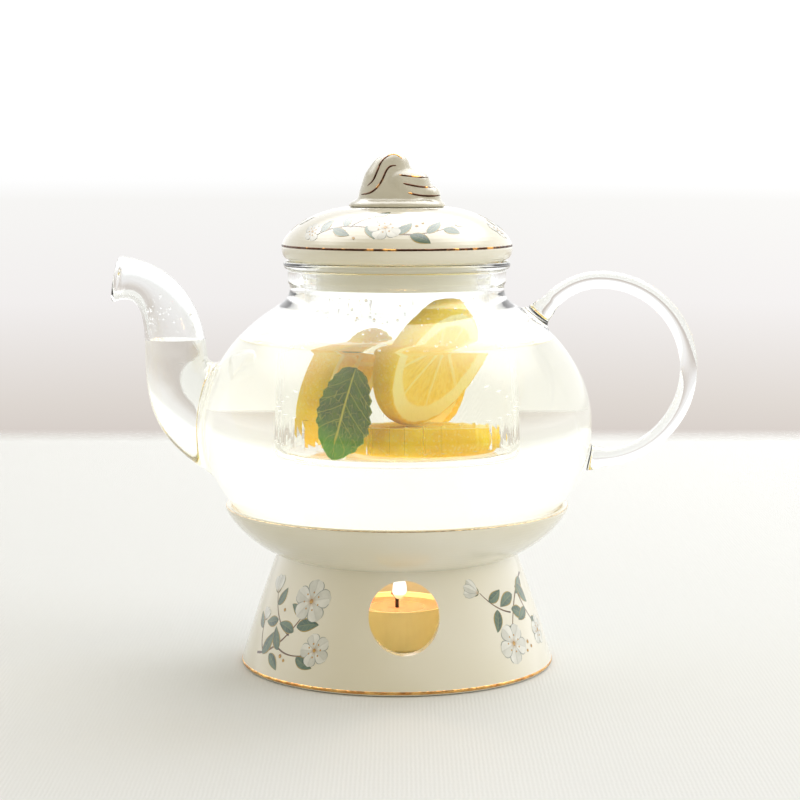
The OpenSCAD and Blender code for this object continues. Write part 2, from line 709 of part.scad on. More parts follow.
// Height of a leaning slice's middle above its lowest point, which lies on the rounded peel.
function slice_rise(radius, thick, lean) =
    let (swell = 4 * peel_bulge * thick, t = (1 - thick * tan(lean) / swell) / 2)
    (radius - peel_bulge * thick + swell * t * (1 - t)) * cos(lean) - thick * t * sin(lean);

// Stands a slice on its edge: its face is turned towards the front and its top leans to the right.
module standing(at, turn, lean) {
    translate(at) rotate([0, 0, -turn]) rotate([0, 90 + lean, 0]) children();
}

module lemon_slice_front() {
    standing(front_slice_at, front_turn, front_lean) lemon_slice(front_slice_r, front_slice_t);
}

module lemon_slice_left() {
    standing(left_slice_at, left_turn, left_lean) lemon_slice(left_slice_r, left_slice_t);
}

module lemon_slice_back() {
    standing(back_slice_at, back_turn, back_lean) lemon_slice(back_slice_r, back_slice_t);
}

module lemon_slice_low() {
    wide = low_slice_r * 3;
    difference() {
        translate(low_slice_at + [0, 0, low_slice_t]) lemon_slice(low_slice_r, low_slice_t);
        translate([low_slice_at[0], low_slice_at[1], low_slice_middle_z])
            rotate([-low_slice_slope, 0, 0]) translate([-wide / 2, -wide / 2, 0])
                cube([wide, wide, low_slice_t]);
    }
}

// Outline of a mint leaf with a toothed edge, from its tip at the origin up to its stalk.
function leaf_half(y, long, wide) = wide / 2 * pow(sin(180 * pow(y / long, 0.8)), 0.85 - 0.45 * y / long);
function leaf_outline(long, wide, teeth = 9, depth = 0.05) =
    let (side = [for (i = [0:2 * teeth]) let (y = long * i / (2 * teeth))
                    [leaf_half(y, long, wide) * (i % 2 == 0 ? 1 : 1 + depth * 2) + 0.01, y]])
    concat(side, [for (i = [len(side) - 1:-1:0]) [-side[i][0], side[i][1]]]);

// A leaf that lies against the infuser's wall, at an angle round it and tipped from upright.
module wall_leaf(long, wide, around, tilt, up) {
    leaf_r = fruit_r - fruit_gap;
    color("forestgreen") intersection() {
        translate([0, 0, tea_floor_z]) difference() {
            cylinder(r = leaf_r, h = 2 * long + up);
            translate([0, 0, -1]) cylinder(r = leaf_r - leaf_t, h = 2 * long + up + 2);
        }
        rotate([0, 0, around]) translate([0, 0, tea_floor_z + up]) rotate([90, 0, 0])
            linear_extrude(fruit_r) rotate([0, 0, tilt]) polygon(leaf_outline(long, wide));
    }
}

front_leaf_around = -38;
front_leaf_tilt = -17;
back_leaf_turn = 100;

module mint_leaf_front() {
    wall_leaf(leaf_l, leaf_w, front_leaf_around, front_leaf_tilt, fruit_gap);
}

// The second leaf leans against the hidden face of the front slice.
module mint_leaf_back() {
    color("forestgreen") standing(front_slice_at, front_turn, front_lean)
        translate([0, 0, -front_slice_t - fruit_gap - leaf_t])
            rotate([0, 0, back_leaf_turn]) linear_extrude(leaf_t)
                polygon(leaf_outline(back_leaf_l, back_leaf_w));
}

warmer_base();
warmer_dish();
pot_bowl();
pot_neck();
pot_spout();
pot_handle();
infuser();
lid_dome();
lid_knob();
candle_cup();
candle_wax();
candle_wick();
wick_tab();
lemon_slice_front();
lemon_slice_left();
lemon_slice_back();
lemon_slice_low();
mint_leaf_front();
mint_leaf_back();
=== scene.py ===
import json
import math
import random
import bmesh
import bpy
from mathutils import Matrix, Vector

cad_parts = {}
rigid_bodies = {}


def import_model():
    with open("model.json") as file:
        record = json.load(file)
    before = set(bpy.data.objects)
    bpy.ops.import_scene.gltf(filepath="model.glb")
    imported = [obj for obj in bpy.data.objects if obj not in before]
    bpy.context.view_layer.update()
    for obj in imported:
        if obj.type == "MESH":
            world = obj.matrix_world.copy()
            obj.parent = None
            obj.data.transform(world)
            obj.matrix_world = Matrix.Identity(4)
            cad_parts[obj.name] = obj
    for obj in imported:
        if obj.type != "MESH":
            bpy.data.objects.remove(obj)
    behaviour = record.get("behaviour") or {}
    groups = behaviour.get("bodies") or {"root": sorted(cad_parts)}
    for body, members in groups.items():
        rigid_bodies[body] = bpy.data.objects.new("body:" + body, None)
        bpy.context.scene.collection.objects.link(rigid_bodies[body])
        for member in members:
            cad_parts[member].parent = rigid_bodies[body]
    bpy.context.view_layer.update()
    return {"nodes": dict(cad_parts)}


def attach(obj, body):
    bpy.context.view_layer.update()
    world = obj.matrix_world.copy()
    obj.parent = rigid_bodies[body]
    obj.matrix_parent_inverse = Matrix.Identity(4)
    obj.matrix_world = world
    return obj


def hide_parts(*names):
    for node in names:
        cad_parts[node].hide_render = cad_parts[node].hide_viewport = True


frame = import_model()
nodes = frame["nodes"]
mm = 0.001
print("stage: frame loaded")


# Tools for modelling. Points are in millimetres, meshes in metres.
def deselectAll():
    if bpy.context.object and bpy.context.object.mode != "OBJECT":
        bpy.ops.object.mode_set(mode="OBJECT")
    bpy.ops.object.select_all(action="DESELECT")


def makeActive(obj):
    deselectAll()
    obj.select_set(True)
    bpy.context.view_layer.objects.active = obj


def editMesh(obj):
    # opens a mesh for editing with all of it chosen
    makeActive(obj)
    bpy.ops.object.mode_set(mode="EDIT")
    bpy.ops.mesh.select_all(action="SELECT")
    return bmesh.from_edit_mesh(obj.data)


def leaveEdit():
    bpy.ops.object.mode_set(mode="OBJECT")


def addPiece(name, add, **settings):
    deselectAll()
    add(**settings)
    bpy.context.object.name = name
    return bpy.context.object


def closeSeams(gap=2e-6):
    bpy.ops.mesh.select_all(action="SELECT")
    bpy.ops.mesh.remove_doubles(threshold=gap)
    bpy.ops.mesh.normals_make_consistent(inside=False)
    leaveEdit()


def turnProfile(name, points, steps=160):
    # a plane merged to one vertex is extruded from point to point, then spun once round the Z axis
    obj = addPiece(name, bpy.ops.mesh.primitive_plane_add, size=0.001, location=(0, 0, 0))
    editMesh(obj)
    bpy.ops.mesh.merge(type="CENTER")
    corners = [Vector((x * mm, 0, z * mm)) for x, z in points]
    bpy.ops.transform.translate(value=corners[0])
    for here, there in zip(corners, corners[1:]):
        bpy.ops.mesh.extrude_region_move(TRANSFORM_OT_translate={"value": there - here})
    bpy.ops.mesh.select_all(action="SELECT")
    bpy.ops.mesh.spin(steps=steps, angle=2 * math.pi, center=(0, 0, 0), axis=(0, 0, 1))
    closeSeams()
    return obj


def growTube(name, rings):
    # a circle is extruded once for each ring, and each new ring is set on its points
    sides = len(rings[0])
    obj = addPiece(name, bpy.ops.mesh.primitive_circle_add, vertices=sides, radius=0.01, fill_type="NOTHING")
    mesh = editMesh(obj)
    mesh.verts.ensure_lookup_table()
    for i in range(sides):
        mesh.verts[i].co = rings[0][i] * mm
    bpy.ops.mesh.edge_face_add()
    bpy.ops.mesh.select_all(action="DESELECT")
    mesh = bmesh.from_edit_mesh(obj.data)
    for edge in mesh.edges:
        edge.select_set(True)
    for before, ring in zip(rings, rings[1:]):
        bpy.ops.mesh.extrude_edges_move(TRANSFORM_OT_translate={"value": (0, 0, 0)})
        mesh = bmesh.from_edit_mesh(obj.data)
        mesh.verts.ensure_lookup_table()
        last = {tuple(round(c, 7) for c in point * mm): i for i, point in enumerate(before)}
        for vert in mesh.verts:
            if vert.select:
                vert.co = ring[last[tuple(round(c, 7) for c in vert.co)]] * mm
    bpy.ops.mesh.edge_face_add()
    closeSeams()
    return obj


def mergePoints(obj, gap):
    editMesh(obj)
    bpy.ops.mesh.remove_doubles(threshold=gap)
    leaveEdit()


def modify(obj, kind, **settings):
    makeActive(obj)
    bpy.ops.object.modifier_add(type=kind)
    modifier = obj.modifiers[-1]
    for key, value in settings.items():
        setattr(modifier, key, value)
    bpy.ops.object.modifier_apply(modifier=modifier.name)


def combine(obj, other, operation):
    modify(obj, "BOOLEAN", operation=operation, solver="MANIFOLD", object=other)
    bpy.data.objects.remove(other)


def copyOf(name, node):
    # a loose copy of a solid from the frame, merged into one skin
    makeActive(nodes[node])
    bpy.ops.object.duplicate()
    obj = bpy.context.object
    obj.name = name
    obj.data.name = name
    if obj.parent:
        bpy.ops.object.parent_clear(type="CLEAR_KEEP_TRANSFORM")
        bpy.ops.object.transform_apply(location=True, rotation=True, scale=True)
    editMesh(obj)
    if obj.data.has_custom_normals:
        bpy.ops.mesh.customdata_custom_splitnormals_clear()
    bpy.ops.mesh.remove_doubles(threshold=2e-6)
    leaveEdit()
    return obj


def copyShape(shape):
    obj = shape.copy()
    obj.data = shape.data.copy()
    bpy.context.collection.objects.link(obj)
    return obj


def joinPieces(name, pieces):
    makeActive(pieces[0])
    for obj in pieces:
        obj.select_set(True)
    bpy.ops.object.join()
    bpy.context.object.name = name
    return bpy.context.object


def smoothShade(obj, angle):
    makeActive(obj)
    bpy.ops.object.shade_smooth_by_angle(angle=math.radians(angle))


def paint(obj, *materials):
    obj.data.materials.clear()
    for material in materials:
        obj.data.materials.append(material)


def finishPiece(obj, angle, body, slot, *materials):
    smoothShade(obj, angle)
    paint(obj, *materials)
    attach(obj, body)


def secondFinish(obj, test):
    for face in obj.data.polygons:
        face.material_index = 1 if test(*(face.center / mm)) else 0


def storePlace(obj, name, places):
    # keeps a place for each point of the mesh, which the finish reads
    layer = obj.data.attributes.new(name, "FLOAT_VECTOR", "POINT")
    layer.data.foreach_set("vector", [c for place in places for c in place])


def lastWhere(test, low, high):
    # the last place between two at which a test still holds
    for i in range(30):
        middle = (low + high) / 2
        low, high = (middle, high) if test(middle) else (low, middle)
    return low


def aroundZ(reach, turn, z=0.0):
    # a point a given way out, its turn taken from the front
    return Vector((reach * math.sin(turn), -reach * math.cos(turn), z))


def cubicAt(a, b, c, d, t):
    u = 1 - t
    return a * u ** 3 + b * 3 * t * u * u + c * 3 * t * t * u + d * t ** 3


def quadAt(a, b, c, t):
    return a * (1 - t) ** 2 + b * 2 * t * (1 - t) + c * t * t


def arcPoints(a, b, c, steps=8):
    a, b, c = Vector(a), Vector(b), Vector(c)
    return [tuple(quadAt(a, b, c, i / steps)) for i in range(steps + 1)]


# Tools for materials. A value may be a number, a colour or another node's socket.
def setInputs(tree, node, inputs):
    for key, value in inputs.items():
        if isinstance(value, bpy.types.NodeSocket):
            tree.links.new(value, node.inputs[key])
        else:
            wide = isinstance(value, tuple) and len(node.inputs[key].default_value) > len(value)
            node.inputs[key].default_value = (*value, 1) if wide else value


def newMaterial(name):
    material = bpy.data.materials.new(name)
    material.use_nodes = True
    tree = material.node_tree
    return material, tree, tree.nodes["Principled BSDF"], addNode(tree, "TexCoord").outputs["Object"]


def addNode(tree, kind, inputs=None, **settings):
    node = tree.nodes.new("ShaderNode" + kind)
    for key, value in settings.items():
        setattr(node, key, value)
    setInputs(tree, node, inputs or {})
    return node


def splitPoint(tree, point):
    return addNode(tree, "SeparateXYZ", {"Vector": point}).outputs


def colourRamp(tree, fac, stops):
    ramp = addNode(tree, "ValToRGB", {"Fac": fac})
    for element, (place, colour) in zip(ramp.color_ramp.elements, (stops[0], stops[-1])):
        element.position = place
        element.color = (*colour, 1)
    for place, colour in stops[1:-1]:
        ramp.color_ramp.elements.new(place).color = (*colour, 1)
    return ramp.outputs["Color"]


def maths(tree, operation, *values):
    return addNode(tree, "Math", dict(enumerate(values)), operation=operation).outputs[0]


def times(tree, first, second):
    return maths(tree, "MULTIPLY", first, second)


def smoothStep(tree, value, low, high, fromValue=0.0, toValue=1.0, kind="SMOOTHSTEP"):
    return addNode(tree, "MapRange", {"Value": value, "From Min": low, "From Max": high, "To Min": fromValue,
                   "To Max": toValue}, interpolation_type=kind).outputs[0]


def mixColour(tree, share, first, second):
    return addNode(tree, "Mix", {0: share, 6: first, 7: second}, data_type="RGBA").outputs[2]


def flatLength(tree, parts):
    level = addNode(tree, "CombineXYZ", {"X": parts["X"], "Y": parts["Y"]}).outputs[0]
    return addNode(tree, "VectorMath", {0: level}, operation="LENGTH").outputs["Value"]


def addBump(tree, shader, height, strength, distance, invert=False):
    values = {"Height": height, "Strength": strength, "Distance": distance}
    bump = addNode(tree, "Bump", values, invert=invert)
    tree.links.new(bump.outputs["Normal"], shader.inputs["Normal"])


def shaded(colour, share):
    return tuple(c * share for c in colour)


def newGroup(name, inputs, output, kind):
    group = bpy.data.node_groups.new(name, "ShaderNodeTree")
    group.interface.new_socket("Vector", in_out="INPUT", socket_type="NodeSocketVector")
    for label, value in inputs.items():
        group.interface.new_socket(label, in_out="INPUT", socket_type="NodeSocketFloat").default_value = value
    group.interface.new_socket(output, in_out="OUTPUT", socket_type=kind)
    return group, group.nodes.new("NodeGroupInput").outputs, group.nodes.new("NodeGroupOutput")


def noiseOf(tree, point, scale, detail=2.0):
    return addNode(tree, "TexNoise", {"Vector": point, "Scale": scale, "Detail": detail}).outputs["Fac"]


def cellsOf(tree, point, scale, **settings):
    return addNode(tree, "TexVoronoi", {"Vector": point, "Scale": scale}, **settings).outputs["Distance"]


# A soft blotchy mask, used wherever a finish isn't quite even.
mottle, given, taken = newGroup("mottle", {"Scale": 20.0, "Detail": 2.0, "Low": 0.35, "High": 0.7}, "Mask",
                                "NodeSocketFloat")
cloud = noiseOf(mottle, given["Vector"], given["Scale"], given["Detail"])
setInputs(mottle, taken, {"Mask": smoothStep(mottle, cloud, given["Low"], given["High"])})

# The slow ripple of a fired glaze, shared by the porcelain, its paint and its gilding.
glaze, given, taken = newGroup("glazeRipple", {"Scale": 60.0, "Strength": 0.06}, "Normal", "NodeSocketVector")
addBump(glaze, taken, noiseOf(glaze, given["Vector"], given["Scale"], 1.0), given["Strength"], 0.002)


def mottled(tree, point, scale, detail=2.0, low=0.35, high=0.7):
    values = {"Vector": point, "Scale": scale, "Detail": detail, "Low": low, "High": high}
    return addNode(tree, "Group", values, node_tree=mottle).outputs[0]


def glazed(tree, point, **values):
    return addNode(tree, "Group", {"Vector": point, **values}, node_tree=glaze).outputs[0]


# Camera, table and light.
cameraView = {"place": (0.0011, -0.8, 0.19069), "downTilt": 6.646, "lens": 98.07, "sensor": 36}
camera = addPiece("Camera", bpy.ops.object.camera_add, location=cameraView["place"],
                  rotation=(math.radians(90 - cameraView["downTilt"]), 0, 0))
camera.data.lens = cameraView["lens"]
camera.data.sensor_width = cameraView["sensor"]
bpy.context.scene.camera = camera

scene = bpy.context.scene
scene.view_settings.view_transform = "Standard"
scene.cycles.max_bounces = 24
scene.cycles.transmission_bounces = 24
scene.cycles.transparent_max_bounces = 24

tableTop = {"halfWidth": 0.9, "frontEdge": -1.1, "farEdge": 0.635, "fade": 0.03,
            "colour": (0.78, 0.80, 0.815), "weave": 1400}
depth = tableTop["farEdge"] + tableTop["fade"] - tableTop["frontEdge"]
table = addPiece("table", bpy.ops.mesh.primitive_plane_add, size=2, location=(0, 0, 0))
table.scale = (tableTop["halfWidth"], depth / 2, 1)
table.location = (0, tableTop["frontEdge"] + depth / 2, -0.0002)
bpy.ops.object.transform_apply(location=True, rotation=True, scale=True)

material, tree, shader, place = newMaterial("tableCloth")
threads = [addNode(tree, "TexWave", {"Vector": place, "Scale": tableTop["weave"] / 6.28, "Distortion": 1.5,
                   "Detail": 1.0}, bands_direction=way).outputs["Fac"] for way in ("X", "Y")]
weave = maths(tree, "ADD", *threads)
addBump(tree, shader, weave, 0.25, 0.0002)
cloth = colourRamp(tree, weave, [(0.0, shaded(tableTop["colour"], 0.97)), (1.0, tableTop["colour"])])
faded = smoothStep(tree, splitPoint(tree, place)["Y"], tableTop["farEdge"] - tableTop["fade"],
                   tableTop["farEdge"] + tableTop["fade"], 1.0, 0.0, "LINEAR")
setInputs(tree, shader, {"Base Color": cloth, "Roughness": 0.85, "Specular IOR Level": 0.2, "Alpha": faded})
paint(table, material)

roomLight = {"ambient": 0.80, "ambientFront": (0.86, 0.76, 0.56), "ambientBack": (1.0, 0.985, 0.95),
             "wideFrom": 0.75, "wideTo": 1.0, "rightGain": 0.20, "skyGain": 0.30, "overhead": 4.0,
             "mirrorDim": 0.30, "throughDim": 0.78,
             "backdrop": ((0.0, (0.63, 0.575, 0.535)), (0.0757, (0.68, 0.624, 0.584)),
                          (0.1736, (0.73, 0.68, 0.638)), (0.499, (0.888, 0.863, 0.855)),
                          (0.825, (0.93, 0.922, 0.905)), (0.89, (1, 1, 1)))}
world = bpy.data.worlds.new("room")
scene.world = world
world.use_nodes = True
tree = world.node_tree
tree.nodes.clear()
parts = splitPoint(tree, addNode(tree, "TexCoord").outputs["Generated"])
ray = addNode(tree, "LightPath").outputs
backdrop = colourRamp(tree, smoothStep(tree, parts["Z"], -0.14, 0.0, kind="LINEAR"), roomLight["backdrop"])
aside = smoothStep(tree, maths(tree, "ABSOLUTE", parts["X"]), roomLight["wideFrom"], roomLight["wideTo"])
backdrop = mixColour(tree, aside, backdrop, (1, 1, 1))
# the room in front is dimmer in the glaze and glass, and the ceiling brighter in the glaze
dim = smoothStep(tree, ray["Is Transmission Ray"], 0.0, 1.0, roomLight["mirrorDim"], roomLight["throughDim"])
dim = maths(tree, "ADD", smoothStep(tree, parts["Y"], -0.75, 0.2, dim, 1.0), -1.0)
mirrored = maths(tree, "MULTIPLY_ADD", ray["Is Glossy Ray"], dim, 1.0)
lighter = addNode(tree, "Clamp", {"Value": parts["X"], "Min": 0.0, "Max": 0.2}).outputs[0]
lighter = maths(tree, "MULTIPLY_ADD", lighter, roomLight["rightGain"], 1.0)
sky = smoothStep(tree, parts["Z"], -0.015, 0.02, 1.0, 1.0 + roomLight["skyGain"])
bounced = maths(tree, "SUBTRACT", ray["Is Glossy Ray"], ray["Is Transmission Ray"])
bounced = addNode(tree, "Clamp", {"Value": bounced}).outputs[0]
above = times(tree, smoothStep(tree, parts["Z"], 0.45, 0.75, 0.0, roomLight["overhead"] - 1), bounced)
above = times(tree, above, smoothStep(tree, parts["Y"], -0.45, 0.05))
brightness = times(tree, times(tree, times(tree, mirrored, lighter), sky), maths(tree, "ADD", above, 1.0))
seen = addNode(tree, "Background", {"Color": backdrop, "Strength": brightness}).outputs[0]
ambient = mixColour(tree, smoothStep(tree, parts["Y"], -0.6, 0.2), roomLight["ambientFront"],
                    roomLight["ambientBack"])
light = addNode(tree, "Background", {"Color": ambient, "Strength": roomLight["ambient"]}).outputs[0]
look = maths(tree, "MAXIMUM", maths(tree, "MAXIMUM", ray["Is Camera Ray"], ray["Is Glossy Ray"]),
             ray["Is Transmission Ray"])
surface = addNode(tree, "MixShader", {0: look, 1: light, 2: seen}).outputs[0]
addNode(tree, "OutputWorld", {"Surface": surface})

lamps = {"window": {"place": (0.75, 1.15, 1.15), "size": 1.5, "power": 15},
         "sideWindow": {"place": (1.3, -0.25, 0.75), "size": 0.9, "power": 5}}
for name, values in lamps.items():
    aim = Vector((0, 0, 0.08)) - Vector(values["place"])
    lamp = addPiece(name, bpy.ops.object.light_add, type="AREA", location=values["place"],
                    rotation=aim.to_track_quat("-Z", "Y").to_euler())
    lamp.data.size = values["size"]
    lamp.data.energy = values["power"]
    lamp.visible_glossy = False
    lamp.visible_transmission = False
print("stage: camera, table and light")

# Porcelain and glass.
# the knob takes the same glaze made darker, a painted shade
porcelainLook = {"colour": (0.785, 0.755, 0.625), "pale": (0.835, 0.815, 0.715), "knobPaintedShade": 0.77}
glazeLook = {"Roughness": 0.12, "Coat Weight": 0.6, "Coat Roughness": 0.03}


def porcelainMaterial(name, shade):
    material, tree, shader, place = newMaterial(name)
    colour = mixColour(tree, mottled(tree, place, 22.0), shaded(porcelainLook["colour"], shade),
                       shaded(porcelainLook["pale"], shade))
    setInputs(tree, shader, {"Base Color": colour, "Normal": glazed(tree, place), **glazeLook})
    return material


porcelain = porcelainMaterial("porcelain", 1.0)
# a darker copy of the porcelain, which paints shade on the knob
knobPaintedShadePorcelain = porcelainMaterial("knobPaintedShadePorcelain", porcelainLook["knobPaintedShade"])


def glassMaterial(name, ior, colour, tint, absorb=None, deepest=6):
    # shadow and diffuse rays, and rays caught inside thick glass, pass straight through
    material = bpy.data.materials.new(name)
    material.use_nodes = True
    tree = material.node_tree
    shader, output = tree.nodes["Principled BSDF"], tree.nodes["Material Output"]
    setInputs(tree, shader, {"Base Color": colour, "Roughness": 0.0, "Transmission Weight": 1.0, "IOR": ior})
    ray = addNode(tree, "LightPath").outputs
    either = maths(tree, "MAXIMUM", ray["Is Shadow Ray"], ray["Is Diffuse Ray"])
    straight = maths(tree, "MAXIMUM", either, maths(tree, "GREATER_THAN", ray["Ray Depth"], deepest))
    clear = addNode(tree, "BsdfTransparent", {"Color": tint}).outputs[0]
    surface = addNode(tree, "MixShader", {0: straight, 1: shader.outputs[0], 2: clear}).outputs[0]
    setInputs(tree, output, {"Surface": surface})
    if absorb:
        setInputs(tree, output, {"Volume": addNode(tree, "VolumeAbsorption", absorb).outputs[0]})
    return material


clearGlass = glassMaterial("clearGlass", 1.47, (0.99, 0.997, 0.993), (0.995, 0.998, 0.996))
thickGlass = glassMaterial("thickGlass", 1.47, (0.99, 0.997, 0.993), (0.995, 0.998, 0.996), deepest=4)
wetGlass = glassMaterial("wetGlass", 1.06, (0.997, 0.997, 0.99), (0.998, 0.998, 0.995))
teaLiquid = glassMaterial("lemonTea", 1.333, (1.0, 0.998, 0.99), (0.999, 0.995, 0.98),
                          {"Color": (0.92, 0.80, 0.30), "Density": 1.5})
dropWater = glassMaterial("dropWater", 1.333, (1.0, 1.0, 1.0), (0.999, 0.999, 0.999))
teaEdge = glassMaterial("teaEdge", 1.333, (0.99, 0.86, 0.44), (0.99, 0.95, 0.8))
print("stage: finishes")

# The glass pot: the bowl, neck, spout and handle are one piece of glass.
bowl = {"radius": 71.8, "halfHeight": 55.0, "middle": 89.0, "wall": 1.9, "foot": 46.0, "floor": 48.8,
        "footRadius": 41.5, "footRing": 5.5, "footHollow": 1.2, "footBlend": 3.5, "neckBlend": 5.0,
        "neckRadius": 39.4, "mouthRadius": 37.4, "lip": 146.185, "lipHeight": 5.4, "lipOut": 0.7,
        "thickAbove": 138, "thickBeyond": 42}


def bellyRadius(z, depth=0.0):
    k = (z - bowl["middle"]) / (bowl["halfHeight"] - depth)
    return (bowl["radius"] - depth) * math.sqrt(max(0.0, 1 - k * k))


def bellySlope(z, depth):
    a, b = bowl["radius"] - depth, bowl["halfHeight"] - depth
    return -a * a / (b * b) * (z - bowl["middle"]) / bellyRadius(z, depth)


def bowlSkin(depth, lowZ, sideRadius, steps=72):
    blendZ = lowZ + bowl["footBlend"]
    blendR = bellyRadius(blendZ, depth)
    bend = (blendR - bowl["footBlend"] * bellySlope(blendZ, depth), lowZ)
    b = bowl["halfHeight"] - depth
    k = (sideRadius + bowl["neckBlend"] * 0.9) / (bowl["radius"] - depth)
    neckZ = bowl["middle"] + b * math.sqrt(1 - k * k)
    neckStart = (bellyRadius(neckZ, depth), neckZ)
    neckBend = (sideRadius, neckZ + (sideRadius - neckStart[0]) / bellySlope(neckZ, depth))
    points = arcPoints((min(bowl["footRadius"], bend[0] - 0.5), lowZ), bend, (blendR, blendZ))
    first = math.acos((bowl["middle"] - blendZ) / b)
    last = math.acos((bowl["middle"] - neckZ) / b)
    for i in range(1, steps):
        z = bowl["middle"] - b * math.cos(first + (last - first) * i / steps)
        points.append((bellyRadius(z, depth), z))
    return points + arcPoints(neckStart, neckBend, (neckBend[0], neckBend[1] + bowl["neckBlend"] * 0.66))


def bellyNormal(p):
    a, b = bowl["radius"], bowl["halfHeight"]
    return Vector((p.x / (a * a), p.y / (a * a), (p.z - bowl["middle"]) / (b * b))).normalized()


def ontoBelly(p, depth):
    # moves a point along the belly's normal until it lies a given depth under the outside
    for i in range(6):
        normal = bellyNormal(p)
        flat = math.hypot(p.x, p.y)
        k = math.hypot(flat / bowl["radius"], (p.z - bowl["middle"]) / bowl["halfHeight"])
        surface = Vector((p.x / k, p.y / k, bowl["middle"] + (p.z - bowl["middle"]) / k))
        p = p + normal * (surface - p).dot(normal)
    return p - bellyNormal(p) * depth


def inBelly(p):
    return math.hypot(math.hypot(p.x, p.y) / bowl["radius"],
                      (p.z - bowl["middle"]) / bowl["halfHeight"]) < 1


foot, neckRadius, mouth, lip = bowl["foot"], bowl["neckRadius"], bowl["mouthRadius"], bowl["lip"]
neckZ = lip - bowl["lipHeight"]
ringIn = bowl["footRadius"] - bowl["footRing"]
edge = neckRadius + bowl["lipOut"]
footTop = foot + bowl["footHollow"]
outside = [(0, footTop), (ringIn - 3 * bowl["footHollow"], footTop)]
outside += arcPoints((ringIn - 1.2, foot + 0.5), (ringIn, foot), (ringIn + 1.2, foot), 4)
outside += bowlSkin(0, foot, neckRadius)
outside += arcPoints((neckRadius, neckZ - 1.6), (neckRadius, neckZ - 0.4),
                     (neckRadius + bowl["lipOut"] * 0.5, neckZ), 4)
outside += arcPoints((edge - 0.1, neckZ + 0.6), (edge, neckZ + 1), (edge, neckZ + 1.6), 3)
outside += arcPoints((edge, lip - 1.1), (edge, lip), (edge - 1.1, lip), 6)
pot = turnProfile("glassPot", outside + [(0, lip)])
inside = [(0, bowl["floor"])] + bowlSkin(bowl["wall"], bowl["floor"], mouth) + [(mouth, lip - 0.9)]
inside += arcPoints((mouth, lip - 0.8), (mouth, lip), (mouth + 0.8, lip + 0.02), 4)
hollow = turnProfile("bowlHollow", inside + [(mouth + 1.5, lip + 1), (0, lip + 1)])

spout = {"sides": 72, "wall": 1.8, "tip": (-103.4, 142.2), "tipLean": 9.5, "tipRadius": 8.5,
         "riserLow": (-92.7, 113.0), "riserHigh": (-69.7, 113.0), "rootLow": 69.0, "rootHigh": 109.6,
         "rootWidth": 28.0, "riserWidth": 23.0, "riserAt": 0.6, "fillet": 4.6,
         "lowPulls": ((10.8, 4), (0, 16.6), (0, -21), (-20.2, 11.8)),
         "highPulls": ((15.2, -1), (-1.7, 26), (0.1, -1.4), (-1.7, 1.4))}


def spoutRail(upper, s):
    pulls = [Vector(p) for p in (spout["highPulls"] if upper else spout["lowPulls"])]
    lean = math.radians(spout["tipLean"])
    side = Vector((math.sin(lean), math.cos(lean))) * spout["tipRadius"] * (1 if upper else -1)
    start = Vector(spout["tip"]) + side
    riser = Vector(spout["riserHigh" if upper else "riserLow"])
    rootZ = spout["rootHigh" if upper else "rootLow"]
    end = Vector((-bellyRadius(rootZ), rootZ))
    if s < spout["riserAt"]:
        return cubicAt(start, start + pulls[0], riser + pulls[1], riser, s / spout["riserAt"])
    share = (s - spout["riserAt"]) / (1 - spout["riserAt"])
    past = max(0.0, s - 1) * bowl["radius"] / 2
    return cubicAt(riser, riser + pulls[2], end + pulls[3], end, min(1.0, share)) + Vector((past, 0))


def spoutPoint(s, turn, depth):
    low, high = spoutRail(False, s), spoutRail(True, s)
    middle, span = (low + high) / 2, (high - low).length
    up = (high - low) / span * (span / 2 - depth)
    if s < spout["riserAt"]:
        width = span / 2
    else:
        share = min(1.0, (s - spout["riserAt"]) / (1 - spout["riserAt"]))
        width = (spout["riserWidth"] + (spout["rootWidth"] - spout["riserWidth"]) * share) / 2
    return Vector((middle.x + up.x * math.sin(turn), (width - depth) * math.cos(turn),
                   middle.y + up.y * math.sin(turn)))


def rootShare(turn, depth):
    return lastWhere(lambda s: not inBelly(spoutPoint(s, turn, depth)), spout["riserAt"], 1.6)


def backFrom(turn, depth, end, way):
    # the share along a line of the spout at which it is a given way before its end
    target = spoutPoint(end, turn, depth)
    return lastWhere(lambda s: (spoutPoint(s, turn, depth) - target).length > way, 0.3, end)


def filletOnto(before, root, outward, size, steps=7):
    # a line that leaves a tube's side and lies down on the belly, then goes on into the glass
    normal = bellyNormal(root)
    along = (outward - normal * outward.dot(normal)).normalized()
    end = ontoBelly(root + along * size, 0.16)
    line = [quadAt(before, root, end, i / steps) for i in range(1, steps + 1)]
    return line + [ontoBelly(root + along * (size + 0.3), 1.1)]


spoutRows = {
    "tip": ((0.0, 0.85), (0.003, 0.30), (0.009, -0.10), (0.02, -0.25), (0.035, -0.15), (0.06, 0.0)),
    "innerTip": ((-0.02, -0.75), (-0.0005, -0.72), (0.003, -0.35), (0.009, -0.08), (0.02, -0.05),
                 (0.04, 0.0)),
    "riser": 40, "root": 26}


def spoutRings(depth, tipRows, intoBowl):
    lines = []
    for number in range(spout["sides"]):
        turn = 2 * math.pi * number / spout["sides"]
        line = [spoutPoint(s, turn, depth + extra) for s, extra in tipRows]
        end = rootShare(turn, depth)
        stop = end if intoBowl else backFrom(turn, depth, end, spout["fillet"])
        for low, high, rows in ((tipRows[-1][0], spout["riserAt"], spoutRows["riser"]),
                                (spout["riserAt"], stop, spoutRows["root"])):
            line += [spoutPoint(low + (high - low) * i / rows, turn, depth) for i in range(1, rows + 1)]
        if intoBowl:
            line += [line[-1] + Vector((7, 0, 0))]
        else:
            middle = (spoutPoint(end, math.pi / 2, depth) + spoutPoint(end, -math.pi / 2, depth)) / 2
            root = spoutPoint(end, turn, depth)
            line += filletOnto(line[-1], root, root - middle, spout["fillet"])
        lines.append(line)
    return [list(ring) for ring in zip(*lines)]


